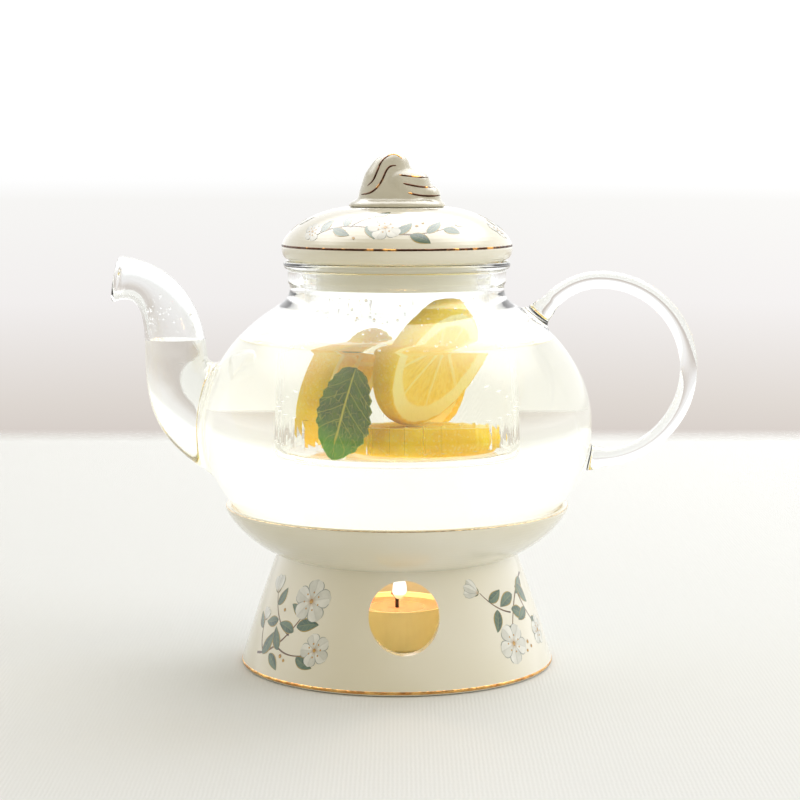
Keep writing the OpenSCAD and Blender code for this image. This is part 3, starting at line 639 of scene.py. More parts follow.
# the first ring of the hollow stands clear of the mouth, so that it cuts right through
spoutSkin = growTube("spoutSkin", spoutRings(0, spoutRows["tip"], False))
rings = spoutRings(spout["wall"], spoutRows["innerTip"], True)
lean = math.radians(spout["tipLean"])
out = Vector((-math.cos(lean), 0, math.sin(lean)))
rings[0] = [p + out * 1.5 for p in rings[1]]
spoutHollow = growTube("spoutHollow", rings)

handle = {"sides": 36, "radius": 3.25, "endRadius": 4.2, "fillet": 4.4, "swell": 9.0,
          "loop": (74.6, 109.0, 33.0), "bend": (74.6, 118.0, 24.0), "shoulder": 45}


def stationsRound(x, z, r, first, last, steps):
    turns = [math.radians(first + (last - first) * i / steps) for i in range(steps + 1)]
    return [(Vector((x + r * math.cos(turn), 0, z + r * math.sin(turn))),
             Vector((-math.sin(turn), 0, math.cos(turn)))) for turn in turns]


def handleRings():
    # stations along the rod's middle line, from the low joint round the loop to the high joint
    x, z, r = handle["loop"]
    path = [(Vector((x - 12 + 12 * i / 8, 0, z - r)), Vector((1, 0, 0))) for i in range(8)]
    path += stationsRound(x, z, r, -90, 90, 72)
    path += stationsRound(*handle["bend"], 90, 90 + handle["shoulder"], 18)[1:]
    last, way = path[-1]
    return path + [(last + way * 14 * i / 8, way) for i in range(1, 9)]


def handleTube():
    path = handleRings()
    roots = [start + way * lastWhere(lambda far: not inBelly(start + way * far), 0.0, 40.0)
             for start, way in ((path[0][0] + path[0][1] * 12, -path[0][1]), path[-9])]
    inside = [(p, way) for p, way in path if not inBelly(p)
              and min((p - r).length for r in roots) > handle["fillet"] + 2.2]
    rings = []
    for p, way in inside:
        near = min((p - r).length for r in roots)
        share = max(0.0, 1 - near / handle["swell"])
        radius = handle["radius"] + (handle["endRadius"] - handle["radius"]) * share * share
        side = Vector((0, 1, 0))
        up = side.cross(way).normalized()
        turns = [2 * math.pi * i / handle["sides"] for i in range(handle["sides"])]
        rings.append([p + (side * math.cos(turn) + up * math.sin(turn)) * radius for turn in turns])
    lines = [list(line) for line in zip(*rings)]
    for line in lines:
        for end, way in ((0, -inside[0][1]), (-1, inside[-1][1])):
            p, middle = line[end], inside[end][0]
            grown = middle + (p - middle) * (handle["endRadius"] / (p - middle).length)
            foot = grown + way * lastWhere(lambda far: not inBelly(grown + way * far), 0.0, 30.0)
            before = foot - way * handle["fillet"]
            extra = [before] + filletOnto(before, foot, p - middle, handle["fillet"], 6)
            if end == 0:
                line[:0] = reversed(extra)
            else:
                line += extra
    return growTube("handleRod", [list(ring) for ring in zip(*lines)])


combine(pot, spoutSkin, "UNION")
combine(pot, handleTube(), "UNION")
combine(pot, hollow, "DIFFERENCE")
combine(pot, spoutHollow, "DIFFERENCE")
finishPiece(pot, 40, "pot", "clear_glass", clearGlass, thickGlass)
secondFinish(pot, lambda x, y, z: z > bowl["thickAbove"] or x > bowl["thickBeyond"]
             and math.hypot(x, y) > bellyRadius(z) + 0.4)
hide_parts(*[n for n in ("pot_bowl", "pot_neck", "pot_spout", "pot_handle") if n in nodes])
print("stage: glass pot", len(pot.data.polygons))

# Lemon tea in the pot and its spout.
tea = {"level": 120.0, "overlap": 0.35, "meniscus": 0.9, "meniscusWidth": 1.6, "above": 142}
wet, level = tea["overlap"], tea["level"]
teaPiece = turnProfile("teaInPot", [(0, bowl["floor"] - wet)]
                       + bowlSkin(bowl["wall"] - wet, bowl["floor"] - wet, mouth + wet)
                       + [(mouth + wet, tea["above"]), (0, tea["above"])])
combine(teaPiece, growTube("teaInSpout", spoutRings(spout["wall"] - wet, [(0.1, 0.0)], True)), "UNION")
editMesh(teaPiece)
bpy.ops.mesh.bisect(plane_co=(0, 0, level * mm), plane_no=(0, 0, 1), use_fill=True, clear_outer=True)
mesh = bmesh.from_edit_mesh(teaPiece.data)
bpy.ops.mesh.select_all(action="DESELECT")
bpy.ops.mesh.select_mode(type="FACE")
for face in mesh.faces:
    if face.normal.z > 0.99 and abs(face.calc_center_median().z - level * mm) < 1e-5:
        face.select_set(True)
rim = {v.index for f in mesh.faces if f.select for v in f.verts}
bmesh.update_edit_mesh(teaPiece.data)
for share in (0.45, 0.55):
    bpy.ops.mesh.inset(thickness=tea["meniscusWidth"] * share * mm, depth=0)
mesh = bmesh.from_edit_mesh(teaPiece.data)
bpy.ops.mesh.select_mode(type="VERT")
mesh.verts.ensure_lookup_table()
for i in rim:
    mesh.verts[i].co.z += tea["meniscus"] * mm
bmesh.update_edit_mesh(teaPiece.data)
leaveEdit()
finishPiece(teaPiece, 50, "pot", "clear_glass", teaLiquid, teaEdge)
secondFinish(teaPiece, lambda x, y, z: z > level + 0.05)
print("stage: tea", len(teaPiece.data.polygons))

# The infuser's glass, thin to the eye below the tea's surface.
infuser = copyOf("glassInfuser", "infuser")
editMesh(infuser)
bpy.ops.mesh.bisect(plane_co=(0, 0, level * mm), plane_no=(0, 0, 1))
leaveEdit()
finishPiece(infuser, 40, "infuser", "clear_glass", clearGlass, wetGlass)
secondFinish(infuser, lambda x, y, z: z < level)
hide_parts("infuser")
print("stage: infuser", len(infuser.data.polygons))

# Drops of condensed steam on the glass above the tea, and small bubbles at its edge.
drops = {"squash": 0.55, "small": 0.22, "large": 0.62, "inSpout": 110, "onInfuser": 150, "onShoulder": 90,
         "bubbles": 60, "infuserRadius": 34.0, "infuserLow": 121.5, "infuserHigh": 137.0}
dropShape = addPiece("dropShape", bpy.ops.mesh.primitive_ico_sphere_add, subdivisions=2, radius=mm)
luck = random.Random(5)


def addDrop(pieces, spot, normal, size, squash=drops["squash"], sunk=0.7):
    # a squashed bead, standing on its spot along the normal
    obj = copyShape(dropShape)
    turn = normal.to_track_quat("Z", "Y").to_matrix().to_4x4()
    spot = spot + normal * size * squash * sunk
    obj.data.transform(Matrix.Translation(spot * mm) @ turn @ Matrix.Diagonal((size, size, size * squash, 1)))
    pieces.append(obj)


def dropSize():
    return drops["small"] + (drops["large"] - drops["small"]) * luck.random() ** 2.5


potDrops, infuserDrops = [], []
for i in range(drops["inSpout"]):
    share, turn = luck.uniform(0.30, 0.66), luck.uniform(0, 2 * math.pi)
    size = dropSize()
    on, off = spoutPoint(share, turn, spout["wall"]), spoutPoint(share, turn, spout["wall"] + 1)
    normal = (off - on).normalized()
    if (on + normal * size * drops["squash"] * 0.7).z > level + 1.5:
        addDrop(potDrops, on, normal, size)
for i in range(drops["onShoulder"]):
    z, turn = level + 1.5 + 11 * luck.random() ** 2, luck.uniform(0, 2 * math.pi)
    on = aroundZ(bellyRadius(z, bowl["wall"]), turn, z)
    addDrop(potDrops, on, -bellyNormal(on), dropSize())
for i in range(drops["bubbles"]):
    turn, size = luck.uniform(0, 2 * math.pi), luck.uniform(0.25, 0.6)
    reach = bellyRadius(level, bowl["wall"]) - 0.7 - 2.2 * luck.random() ** 2
    addDrop(potDrops, aroundZ(reach, turn, level + size * 0.9), Vector((0, 0, 1)), size, 0.8, 0)
for i in range(drops["onInfuser"]):
    z, turn = luck.uniform(drops["infuserLow"], drops["infuserHigh"]), luck.uniform(0, 2 * math.pi)
    way = aroundZ(1, turn)
    addDrop(infuserDrops, way * drops["infuserRadius"] + Vector((0, 0, z)), way, dropSize())
finishPiece(joinPieces("steamDrops", potDrops), 180, "pot", "clear_glass", dropWater)
finishPiece(joinPieces("infuserDrops", infuserDrops), 180, "infuser", "clear_glass", dropWater)
bpy.data.objects.remove(dropShape)
print("stage: drops and bubbles")

# Gilding: thin bands fired onto the glaze.
# the burnt colour gives darker patches in the gold; in the worn look it is near-black, a painted dark
# reflection, with breaks of gold between
gildLook = {"bright": {"gold": (0.86, 0.50, 0.16), "burnt": (0.62, 0.28, 0.08), "low": 0.30, "high": 0.60},
            "wornAndPaintedDark": {"gold": (0.80, 0.38, 0.10), "burnt": (0.085, 0.035, 0.018), "low": 0.56, "high": 0.64},
            "pale": {"gold": (0.80, 0.66, 0.44), "burnt": (0.62, 0.50, 0.34), "low": 0.35, "high": 0.7}}


gilding = {}
for name, look in gildLook.items():
    gilding[name], tree, shader, place = newMaterial(name + "Gilding")
    wearAndPaintedDarkMask = mottled(tree, place, 210.0, 3.0, look["low"], look["high"])
    setInputs(tree, shader, {
        "Base Color": mixColour(tree, wearAndPaintedDarkMask, look["burnt"], look["gold"]), "Metallic": 1.0,
        "Roughness": 0.24, "Normal": glazed(tree, place, Scale=420.0, Strength=0.5)})


def radiusAt(node, z):
    # how far out a solid of revolution reaches at a height
    point = nodes[node].ray_cast(Vector((0.3, 0, z * mm)), Vector((-1, 0, 0)))[1]
    return math.hypot(point.x, point.y) / mm


def gildRing(name, node, body, low, high, steps, finish, proud=0.07, sunk=0.12):
    # a thin ring on a solid between two heights, its two edges let in
    reach = [(radiusAt(node, z), z) for z in [low + (high - low) * i / steps for i in range(steps + 1)]]
    outer = [(r + (proud if 0 < i < steps else -0.03), z) for i, (r, z) in enumerate(reach)]
    ring = turnProfile(name, outer + [(r - sunk, z) for r, z in reversed(reach)] + [outer[0]], 200)
    finishPiece(ring, 60, body, "porcelain", gilding[finish])


bpy.context.view_layer.update()
gildRing("gildFoot", "warmer_base", "warmer", 0.55, 1.75, 5, "bright")
# the lid band is mostly near-black gold, a painted dark reflection
gildRing("gildLid", "lid_dome", "lid", 154.3, 155.2, 4, "wornAndPaintedDark")
gildRing("gildDish", "warmer_dish", "dish", 58.95, 59.4, 4, "pale", 0.04, 0.1)
print("stage: gilding")

# Painted sprigs: leaves, blossoms, stems and buds, fired onto the porcelain as a very thin skin.
sprigs = {"skin": 0.1, "step": 0.008, "lift": {"twig": 0.03, "leaf": 0.05, "petal": 0.08, "dot": 0.13},
          "grid": {"leaf": (6, 14), "petal": (6, 10), "twig": (2, 12), "dot": (4, 4)}}
paintLook = {
    "leaf": {"deep": (0.045, 0.095, 0.065), "light": (0.13, 0.21, 0.14), "root": (0.06, 0.12, 0.08),
             "edge": (0.42, 0.30, 0.07), "edgeFrom": 0.80, "vein": (0.30, 0.34, 0.16), "veins": 5.0,
             "share": 0.55},
    "petal": {"deep": (0.60, 0.61, 0.56), "light": (0.82, 0.83, 0.79), "root": (0.50, 0.36, 0.20),
              "edge": (0.30, 0.33, 0.31), "edgeFrom": 0.86, "vein": (0.45, 0.46, 0.42), "veins": 0.0,
              "share": 0.35},
    "twig": {"deep": (0.10, 0.05, 0.022), "light": (0.22, 0.12, 0.05), "root": (0.08, 0.04, 0.02),
             "edge": (0.08, 0.04, 0.02), "edgeFrom": 0.9, "vein": (0.3, 0.2, 0.1), "veins": 0.0,
             "share": 0.1},
    "dot": {"deep": (0.42, 0.20, 0.03), "light": (0.72, 0.46, 0.10), "root": (0.5, 0.28, 0.05),
            "edge": (0.22, 0.10, 0.03), "edgeFrom": 0.8, "vein": (0.8, 0.6, 0.2), "veins": 0.0,
            "share": 0.1}}


def paintMaterial(kind, look):
    material, tree, shader, place = newMaterial(kind + "Paint")
    held = splitPoint(tree, addNode(tree, "Attribute", attribute_name="strokePlace").outputs["Vector"])
    across = maths(tree, "ABSOLUTE", held["X"])
    halfLit = smoothStep(tree, held["X"], -0.15, 0.25)
    wash = times(tree, maths(tree, "ADD", mottled(tree, place, 260.0, 3.0, 0.3), halfLit), 0.5)
    colour = mixColour(tree, wash, look["deep"], look["light"])
    colour = mixColour(tree, smoothStep(tree, held["Y"], 0.3, 0.0), colour, look["root"])
    drawn = smoothStep(tree, across, 0.10, 0.02)
    if look["veins"]:
        ribs = maths(tree, "ADD", times(tree, held["Y"], look["veins"]), across)
        drawn = maths(tree, "MAXIMUM", smoothStep(tree, maths(tree, "PINGPONG", ribs, 0.5), 0.08, 0.0), drawn)
    colour = mixColour(tree, times(tree, drawn, look["share"]), colour, look["vein"])
    edge = smoothStep(tree, across, look["edgeFrom"], look["edgeFrom"] + 0.1)
    setInputs(tree, shader, {"Base Color": mixColour(tree, edge, colour, look["edge"]),
                             "Normal": glazed(tree, place), **glazeLook})
    return material


kinds = list(paintLook)
paints = [paintMaterial(kind, paintLook[kind]) for kind in kinds]
strokeGrids = {}
for kind in kinds:
    across, along = sprigs["grid"][kind]
    strokeGrids[kind] = addPiece(kind + "Stroke", bpy.ops.mesh.primitive_grid_add, x_subdivisions=across,
                                 y_subdivisions=along, size=1)


def strokeHalf(kind, t):
    if kind == "leaf":
        return math.sin(math.pi * t ** 0.8) ** 0.85
    if kind == "petal":
        return math.sin(math.pi * t ** 1.7) ** 0.55
    if kind == "dot":
        return math.sqrt(max(0.0, 1 - (2 * t - 1) ** 2))
    return 1 - 0.6 * t


def onPorcelain(line, u, v, turn, lift):
    # u runs round the piece and v up its outline, in millimetres; the turn is from the front
    way = 0.0
    for here, there in zip(line, line[1:]):
        step = (there - here).length
        if way + step >= v or there is line[-1]:
            break
        way += step
    spot = here + (there - here) * ((v - way) / step)
    out = Vector(((there - here).y, -(there - here).x)).normalized()
    angle = turn + u / spot.x
    reach = spot.x + out.x * lift
    return aroundZ(reach, angle, spot.y + out.y * lift) * mm


def headed(angle):
    return Vector((math.cos(math.radians(angle)), math.sin(math.radians(angle))))


def strokesOf(design):
    # each leaf, petal, stem and dot is a bent line in the plane with a width
    strokes = []

    def lay(kind, x, y, angle, long, wide, bend=0.0):
        ahead, start = headed(angle), Vector((x, y))
        side = Vector((-ahead.y, ahead.x))
        strokes.append((kind, (start, start + ahead * long / 2 + side * bend, start + ahead * long), wide))

    for points in design["twigs"]:
        strokes.append(("twig", tuple(Vector(p) for p in points[:3]), points[3]))
    for leaf in design["leaves"]:
        lay("leaf", *leaf)
    for x, y, size, turn in design["blossoms"]:
        for k in range(5):
            lay("petal", x, y, turn + 72 * k, size, size * 0.86, size * 0.05 * (-1) ** k)
        for k in range(7):
            angle = turn + 20 + 51.4 * k
            lay("twig", x, y, angle, size * 0.40, 0.22)
            tip = Vector((x, y)) + headed(angle) * size * 0.40
            lay("dot", tip.x - 0.35, tip.y, 0, 0.7, 0.7)
        lay("dot", x - size * 0.11, y, 0, size * 0.22, size * 0.22)
    for x, y, angle, size in design["buds"]:
        for spread in (-26, 26, 0):
            lay("petal", x, y, angle + spread, size, size * 0.5)
        for spread in (-40, 40):
            lay("leaf", x, y, angle + spread, size * 0.5, size * 0.22)
    for x, y, size in design["berries"]:
        lay("dot", x - size / 2, y, 0, size, size)
    return strokes


def paintSprig(name, design, line, turn, body):
    pieces = []
    luck = random.Random(11)
    for number, (kind, spine, wide) in enumerate(strokesOf(design)):
        obj = copyShape(strokeGrids[kind])
        chance, places = luck.random(), []
        lift = sprigs["lift"][kind] + sprigs["step"] * (number % 5)
        for vert in obj.data.vertices:
            s, t = vert.co.x * 2, vert.co.y + 0.5
            ahead = ((spine[1] - spine[0]) * (1 - t) + (spine[2] - spine[1]) * t).normalized()
            spot = quadAt(*spine, t) + Vector((ahead.y, -ahead.x)) * (s * wide / 2 * strokeHalf(kind, t))
            vert.co = onPorcelain(line, spot.x, spot.y, math.radians(turn), lift)
            places.append((s, t, chance))
        storePlace(obj, "strokePlace", places)
        paint(obj, *paints)
        obj.data.polygons.foreach_set("material_index", [kinds.index(kind)] * len(obj.data.polygons))
        pieces.append(obj)
    sprig = joinPieces(name, pieces)
    mergePoints(sprig, 1e-6)
    modify(sprig, "SOLIDIFY", thickness=sprigs["skin"] * mm, offset=-1)
    smoothShade(sprig, 60)
    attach(sprig, body)


# a twig: start, bend, end and width. A leaf: place, turn, length, width and bend. A blossom: place,
# size and turn. A bud: place, turn and size. A berry: place and size.
designs = {
    "climbing": {
        "twigs": (((-17, 7), (-2, 9), (7, 27), 0.9), ((-4, 11.5), (4, 8), (13, 11.5), 0.7),
                  ((1, 16.5), (-8, 20), (-12, 30), 0.7), ((-12, 7.4), (-17, 12), (-17, 19), 0.6)),
        "leaves": ((-13, 7.5, 60, 10, 5.0, -1.0), (-8, 8.2, -38, 8, 4.2, 0.8), (-3, 10.5, 118, 9, 4.6, 1.0),
                   (4, 20, 12, 10, 5.0, 1.0), (3, 18, 168, 9, 4.4, -1.0), (-7, 21, 195, 8, 4.2, 0.8),
                   (-10, 26, 60, 8, 4.0, -0.8), (7, 9.5, -20, 8.5, 4.2, -0.8), (-17, 16, 130, 7, 3.6, 0.6),
                   (5.5, 24, 150, 7.5, 3.8, -0.8)),
        "blossoms": ((8, 30, 8.2, 15), (14.5, 13, 6.2, 40)),
        "buds": ((-12, 30, 105, 7), (-17, 19, 80, 5)),
        "berries": ((-1, 8.6, 1.5), (1.2, 7.4, 1.2), (-4.5, 25, 1.3))},
    "hanging": {
        "twigs": (((16, 36), (4, 33), (-3, 17), 0.9), ((7, 32.5), (8, 24), (15, 17), 0.7),
                  ((-1, 24), (-9, 26), (-14, 33), 0.6)),
        "leaves": ((13, 35, 215, 9, 4.6, 1.0), (9, 33, 300, 9, 4.8, -1.0), (3, 30, 200, 9.5, 4.8, -1.0),
                   (0, 25, 330, 9.5, 4.8, 1.0), (-8, 26, 250, 8.5, 4.4, 0.8), (-11, 29.5, 25, 8, 4.0, -0.8),
                   (10, 24, 205, 8, 4.0, 0.8), (13, 19.5, 330, 7.5, 3.8, -0.8), (-2, 19, 205, 8, 4.2, 0.8)),
        "blossoms": ((-4, 13, 7.6, 50), (17, 14, 5.8, 10)),
        "buds": ((-14.5, 33, 150, 6.5),),
        "berries": ((5, 12, 1.4), (7, 10, 1.2), (3.5, 9, 1.1))},
    "garland": {
        "twigs": (((-26, 7), (-12, 15), (0, 9), 0.8), ((0, 9), (12, 4.5), (27, 12), 0.8),
                  ((-12, 11), (-8, 17), (-1, 19), 0.6)),
        "leaves": ((-24, 8, 60, 8, 4.2, 0.8), (-19, 10.2, -25, 8, 4.2, -0.8), (-14, 11.3, 80, 7, 3.8, 0.6),
                   (-6, 11.6, -60, 7.5, 4.0, 0.6), (5, 7.6, 50, 8, 4.2, -0.8), (10, 7.0, -25, 8.5, 4.4, 0.8),
                   (16, 8, 55, 8, 4.2, -0.8), (22, 10, -20, 7.5, 3.8, 0.8), (-4, 18.5, 40, 7, 3.6, -0.6)),
        "blossoms": ((1, 11, 6.4, 30), (-29, 8, 4.6, 10)),
        "buds": ((27, 12, 30, 5.5),),
        "berries": ((12, 12, 1.2), (14, 13.6, 1.1), (-10, 5.5, 1.2))}}

baseLine = [Vector(p) for p in arcPoints((57.8, 1.2), (52.05, 21.35), (44.3, 41.5), 40)]
lidEdge, lidTop = Vector((42.35, 153.785)), Vector((19.0, 168.585))
pulls = lidEdge + Vector((-0.35, 6.216)), lidTop + Vector((11.675, -1.11))
lidLine = [cubicAt(lidEdge, *pulls, lidTop, i / 40) for i in range(41)]
baseTurns = (("climbing", -48), ("hanging", 55), ("climbing", 128), ("hanging", -135))
for number, (design, turn) in enumerate(baseTurns):
    paintSprig("baseSprig" + str(number), designs[design], baseLine, turn, "warmer")
for number, turn in enumerate((-8, 116, 232)):
    paintSprig("lidSprig" + str(number), designs["garland"], lidLine, turn, "lid")
for grid in strokeGrids.values():
    bpy.data.objects.remove(grid)
print("stage: painted sprigs")

# The knob: a leaning wave with a lower fold on its right, closed and softened from its solid.
knobShape = {"cell": 0.45, "smooth": 18, "line": 0.36, "strokes": (
    ((-10.7, 176.4), (-8.6, 178.2), (-7.2, 181.6), (-5.7, 185.3), (-3.4, 187.2), (-1.3, 187.9), (0.6, 187.3),
     (1.9, 186.0)),
    ((-13.0, 173.2), (-9.8, 173.7), (-7.3, 175.5), (-5.3, 178.4), (-3.9, 182.0), (-2.4, 183.6),
     (-0.3, 183.7)),
    ((0.9, 180.3), (4.4, 179.9), (8.2, 179.5), (12.6, 179.3)),
    ((2.3, 177.3), (6.5, 176.3), (10.6, 175.8), (15.6, 175.9)),
    ((4.1, 173.9), (7.6, 173.0), (11.4, 172.6), (16.2, 172.9)))}
knob = copyOf("knob", "lid_knob")
modify(knob, "REMESH", mode="VOXEL", voxel_size=knobShape["cell"] * mm)
modify(knob, "SMOOTH", factor=0.6, iterations=knobShape["smooth"])


def softLine(points, rounds=3):
    # corners are cut again and again until the line is smooth
    for i in range(rounds):
        cut = [points[0]]
        for a, b in zip(points, points[1:]):
            cut += [a * 0.75 + b * 0.25, a * 0.25 + b * 0.75]
        points = cut + [points[-1]]
    return points


def goldLine(target, line, way, thick):
    # a line drawn flat is laid on a piece along a direction and raised into a thin bead
    spots = []
    for p in softLine([Vector(point) for point in line]):
        hit, point, normal, face = target.ray_cast(Vector((p.x * mm, 0, p.y * mm)) - way * 0.1, way)
        if hit:
            spots.append((point / mm, normal))
    rings, last = [], len(spots) - 1
    for i, (point, normal) in enumerate(spots):
        ahead = (spots[min(i + 1, last)][0] - spots[max(i - 1, 0)][0]).normalized()
        across = ahead.cross(normal).normalized()
        size = thick * min(1.0, 0.35 + 3.0 * min(i, last - i) / len(spots))
        rings.append([point + across * size * math.cos(math.pi * 2 * k / 8)
                      + normal * (size * 0.45 * math.sin(math.pi * 2 * k / 8)) for k in range(8)])
    return growTube("gildStroke", rings)


bpy.context.view_layer.update()
# the knob's gold strokes take the same painted dark reflection
lines = [goldLine(knob, stroke, Vector((0, way, 0)), knobShape["line"])
         for way in (1, -1) for stroke in knobShape["strokes"]]
finishPiece(joinPieces("gildStrokes", lines), 60, "lid", "porcelain", gilding["wornAndPaintedDark"])
# the knob is finished in the darker porcelain, a painted shade
finishPiece(knob, 180, "lid", "porcelain", knobPaintedShadePorcelain)
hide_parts("lid_knob")
print("stage: knob", len(knob.data.polygons))

# Slices of lemon. Each keeps the place of its solid: a middle, a turn to the right and a lean.
slices = {"front": {"node": "lemon_slice_front", "radius": 25.272, "thick": 8.0, "turn": 38, "lean": 24,
                    "middle": (14.58, -8.1, 108.973)},
          "left": {"node": "lemon_slice_left", "radius": 22.68, "thick": 8.0, "turn": 26, "lean": 21,
                   "middle": (-11.178, -0.648, 101.612)},
          "back": {"node": "lemon_slice_back", "radius": 11.664, "thick": 5.0, "turn": 100, "lean": 12,
                   "middle": (6.156, 23.328, 92.532)},
          "low": {"node": "lemon_slice_low", "radius": 22.194, "thick": 7.5, "thinBack": 3.0,
                  "middle": (6.804, -0.972, 81.585)}}
sliceShape = {"bulge": 0.24, "segments": 9, "sunk": 0.35, "pithFrom": 0.80, "hub": 0.09, "wall": 0.35,
              "wobble": 0.006, "rings": (0, 0.05, 0.09, 0.13, 0.19, 0.27, 0.35, 0.43, 0.51, 0.59, 0.67,
                                         0.74, 0.78, 0.81, 0.86, 0.92, 0.97)}
lemonLook = {"flesh": (0.99, 0.76, 0.09), "juice": (1.0, 0.88, 0.24), "membrane": (1.0, 0.93, 0.42),
             "pith": (1.0, 0.92, 0.42), "peel": (0.99, 0.75, 0.022), "peelDeep": (0.90, 0.60, 0.010),
             "cells": 15, "pores": 1000}

lemonFinish, tree, shader, place = newMaterial("lemonFlesh")
held = splitPoint(tree, addNode(tree, "Attribute", attribute_name="slicePlace").outputs["Vector"])
far = flatLength(tree, held)
uneven = noiseOf(tree, place, 240.0)
edgeAt = maths(tree, "MULTIPLY_ADD", uneven, 0.06, far)
drawn = addNode(tree, "CombineXYZ", {"X": maths(tree, "ARCTAN2", held["Y"], held["X"]),
                                     "Y": times(tree, far, 0.55), "Z": uneven}).outputs[0]
cells = cellsOf(tree, drawn, lemonLook["cells"])
flesh = colourRamp(tree, cells, [(0.0, lemonLook["juice"]), (0.5, lemonLook["flesh"]),
                                 (1.0, shaded(lemonLook["flesh"], 0.85))])
skins = maths(tree, "MAXIMUM", smoothStep(tree, held["Z"], 0.2, 0.8, 0.6, 0.0),
              smoothStep(tree, far, 0.08, 0.12, 1.0, 0.0))
walled = mixColour(tree, skins, flesh, lemonLook["membrane"])
ringed = mixColour(tree, smoothStep(tree, edgeAt, 0.80, 0.85), walled, lemonLook["pith"])
pores = cellsOf(tree, place, lemonLook["pores"])
peel = mixColour(tree, mottled(tree, place, 90.0, 3.0, high=0.68), lemonLook["peelDeep"], lemonLook["peel"])
peel = mixColour(tree, smoothStep(tree, pores, 0.0, 0.45, 0.55, 0.0), peel, lemonLook["pith"])
peelMask = smoothStep(tree, edgeAt, 0.995, 1.03)
addBump(tree, shader, mixColour(tree, peelMask, cells, pores), 0.35, 0.0004)
setInputs(tree, shader, {"Base Color": mixColour(tree, peelMask, ringed, peel), "Roughness": 0.45,
                         "Specular IOR Level": 0.15, "Subsurface Weight": 0.35,
                         "Subsurface Radius": (1.0, 0.7, 0.2), "Subsurface Scale": 0.006})


def slicePlace(values):
    # where a leaning slice stands
    return (Matrix.Translation(Vector(values["middle"]) * mm)
            @ Matrix.Rotation(math.radians(-values["turn"]), 4, "Z")
            @ Matrix.Rotation(math.radians(90 + values["lean"]), 4, "Y"))


def shapeSlice(key, values, luck):
    radius, thick = values["radius"], values["thick"]
    edge = radius - sliceShape["bulge"] * thick
    face = [(share * edge, 0) for share in sliceShape["rings"]]
    side = arcPoints((edge, 0), (2 * radius - edge, -thick / 2), (edge, -thick), 12)
    obj = turnProfile("lemonSlice" + key.capitalize(),
                      face + side + [(r, -thick) for r, z in reversed(face)], 126)
    count = sliceShape["segments"]
    bounds = [(i + luck.uniform(-0.16, 0.16)) / count for i in range(count)]
    places = []
    for vert in obj.data.vertices:
        x, y, z = vert.co / mm
        far, turn = math.hypot(x, y), math.atan2(y, x) / (2 * math.pi) % 1.0
        share = far / edge
        flat = min(abs(z), abs(z + thick)) < 0.01
        gap = min(min(abs(turn - b % 1), 1 - abs(turn - b % 1)) for b in bounds) * 2 * math.pi * far
        if flat and sliceShape["hub"] < share < sliceShape["pithFrom"] and gap > sliceShape["wall"]:
            depth = sliceShape["sunk"] * min(1.0, (gap - sliceShape["wall"]) / 0.5)
            depth *= min(1.0, (sliceShape["pithFrom"] - share) * 12)
            z += depth if abs(z + thick) < 0.01 else -depth
        places.append((x / edge, y / edge, gap))
        wave = 1 - sliceShape["wobble"] * (1 + math.sin(6 * math.pi * turn)) * share ** 3
        if "thinBack" in values:
            slope = (thick - values["thinBack"]) / (2 * radius)
            z = -thick + (z + thick) * ((thick + values["thinBack"]) / 2 - slope * y) / thick
        vert.co = Vector((x * wave, y * wave, z)) * mm
    storePlace(obj, "slicePlace", places)
    flatPlace = Matrix.Translation((Vector(values["middle"]) + Vector((0, 0, thick))) * mm)
    obj.data.transform(flatPlace if "thinBack" in values else slicePlace(values))
    finishPiece(obj, 50, "infuser", "lemon", lemonFinish)
    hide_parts(values["node"])


luck = random.Random(7)
for key, values in slices.items():
    shapeSlice(key, values, luck)
print("stage: lemon slices")

# Mint leaves with toothed edges and sunk veins.
mint = {"thick": 0.45, "teeth": 9, "tooth": 0.10, "veins": 6.5, "lean": 1.5, "pucker": 0.16, "groove": 0.2,
        "front": {"long": 27.0, "wide": 17.0, "round": -38, "tilt": -17, "radius": 31.75, "low": 81.585},
        "back": {"long": 21.0, "wide": 13.0, "turn": 100, "under": 8.65}}
leafLook = {"blade": (0.105, 0.17, 0.003), "light": (0.22, 0.30, 0.006), "shade": (0.042, 0.085, 0.002),
            "tip": (0.12, 0.40, 0.006), "vein": (0.66, 0.58, 0.08), "net": 10}

leafFinish, tree, shader, place = newMaterial("mintLeaf")
held = addNode(tree, "Attribute", attribute_name="leafPlace").outputs["Vector"]
parts = splitPoint(tree, held)
across, along = maths(tree, "ABSOLUTE", parts["X"]), parts["Y"]
blade = mixColour(tree, mottled(tree, place, 160.0, 4.0, 0.3), leafLook["shade"], leafLook["blade"])
blade = mixColour(tree, smoothStep(tree, along, 0.42, 0.05), blade, leafLook["tip"])
phase = maths(tree, "ADD", times(tree, along, mint["veins"]), times(tree, across, mint["lean"]))
phase = maths(tree, "PINGPONG", maths(tree, "MULTIPLY_ADD", noiseOf(tree, place, 220.0), 0.35, phase), 0.5)
veins = maths(tree, "MAXIMUM", smoothStep(tree, phase, 0.035, 0.0), smoothStep(tree, across, 0.065, 0.02))
spread = addNode(tree, "VectorMath", {0: held, 1: (0.62, 1.0, 1.0)}, operation="MULTIPLY").outputs[0]
net = cellsOf(tree, spread, leafLook["net"], feature="DISTANCE_TO_EDGE")
veins = maths(tree, "MAXIMUM", veins, smoothStep(tree, net, 0.04, 0.0, 0.0, 0.7))
blade = mixColour(tree, smoothStep(tree, net, 0.05, 0.3, 0.0, 0.35), blade, leafLook["light"])
addBump(tree, shader, veins, 0.5, 0.0003, invert=True)
setInputs(tree, shader, {"Base Color": mixColour(tree, times(tree, veins, 0.85), blade, leafLook["vein"]),
                         "Roughness": 0.42, "Subsurface Weight": 0.2, "Subsurface Radius": (0.4, 1.0, 0.1),
                         "Subsurface Scale": 0.002})


def leafHalf(t, wide):
    t = min(1.0, max(0.0, t))
    return wide / 2 * math.sin(math.pi * t ** 0.8) ** (0.85 - 0.45 * t)


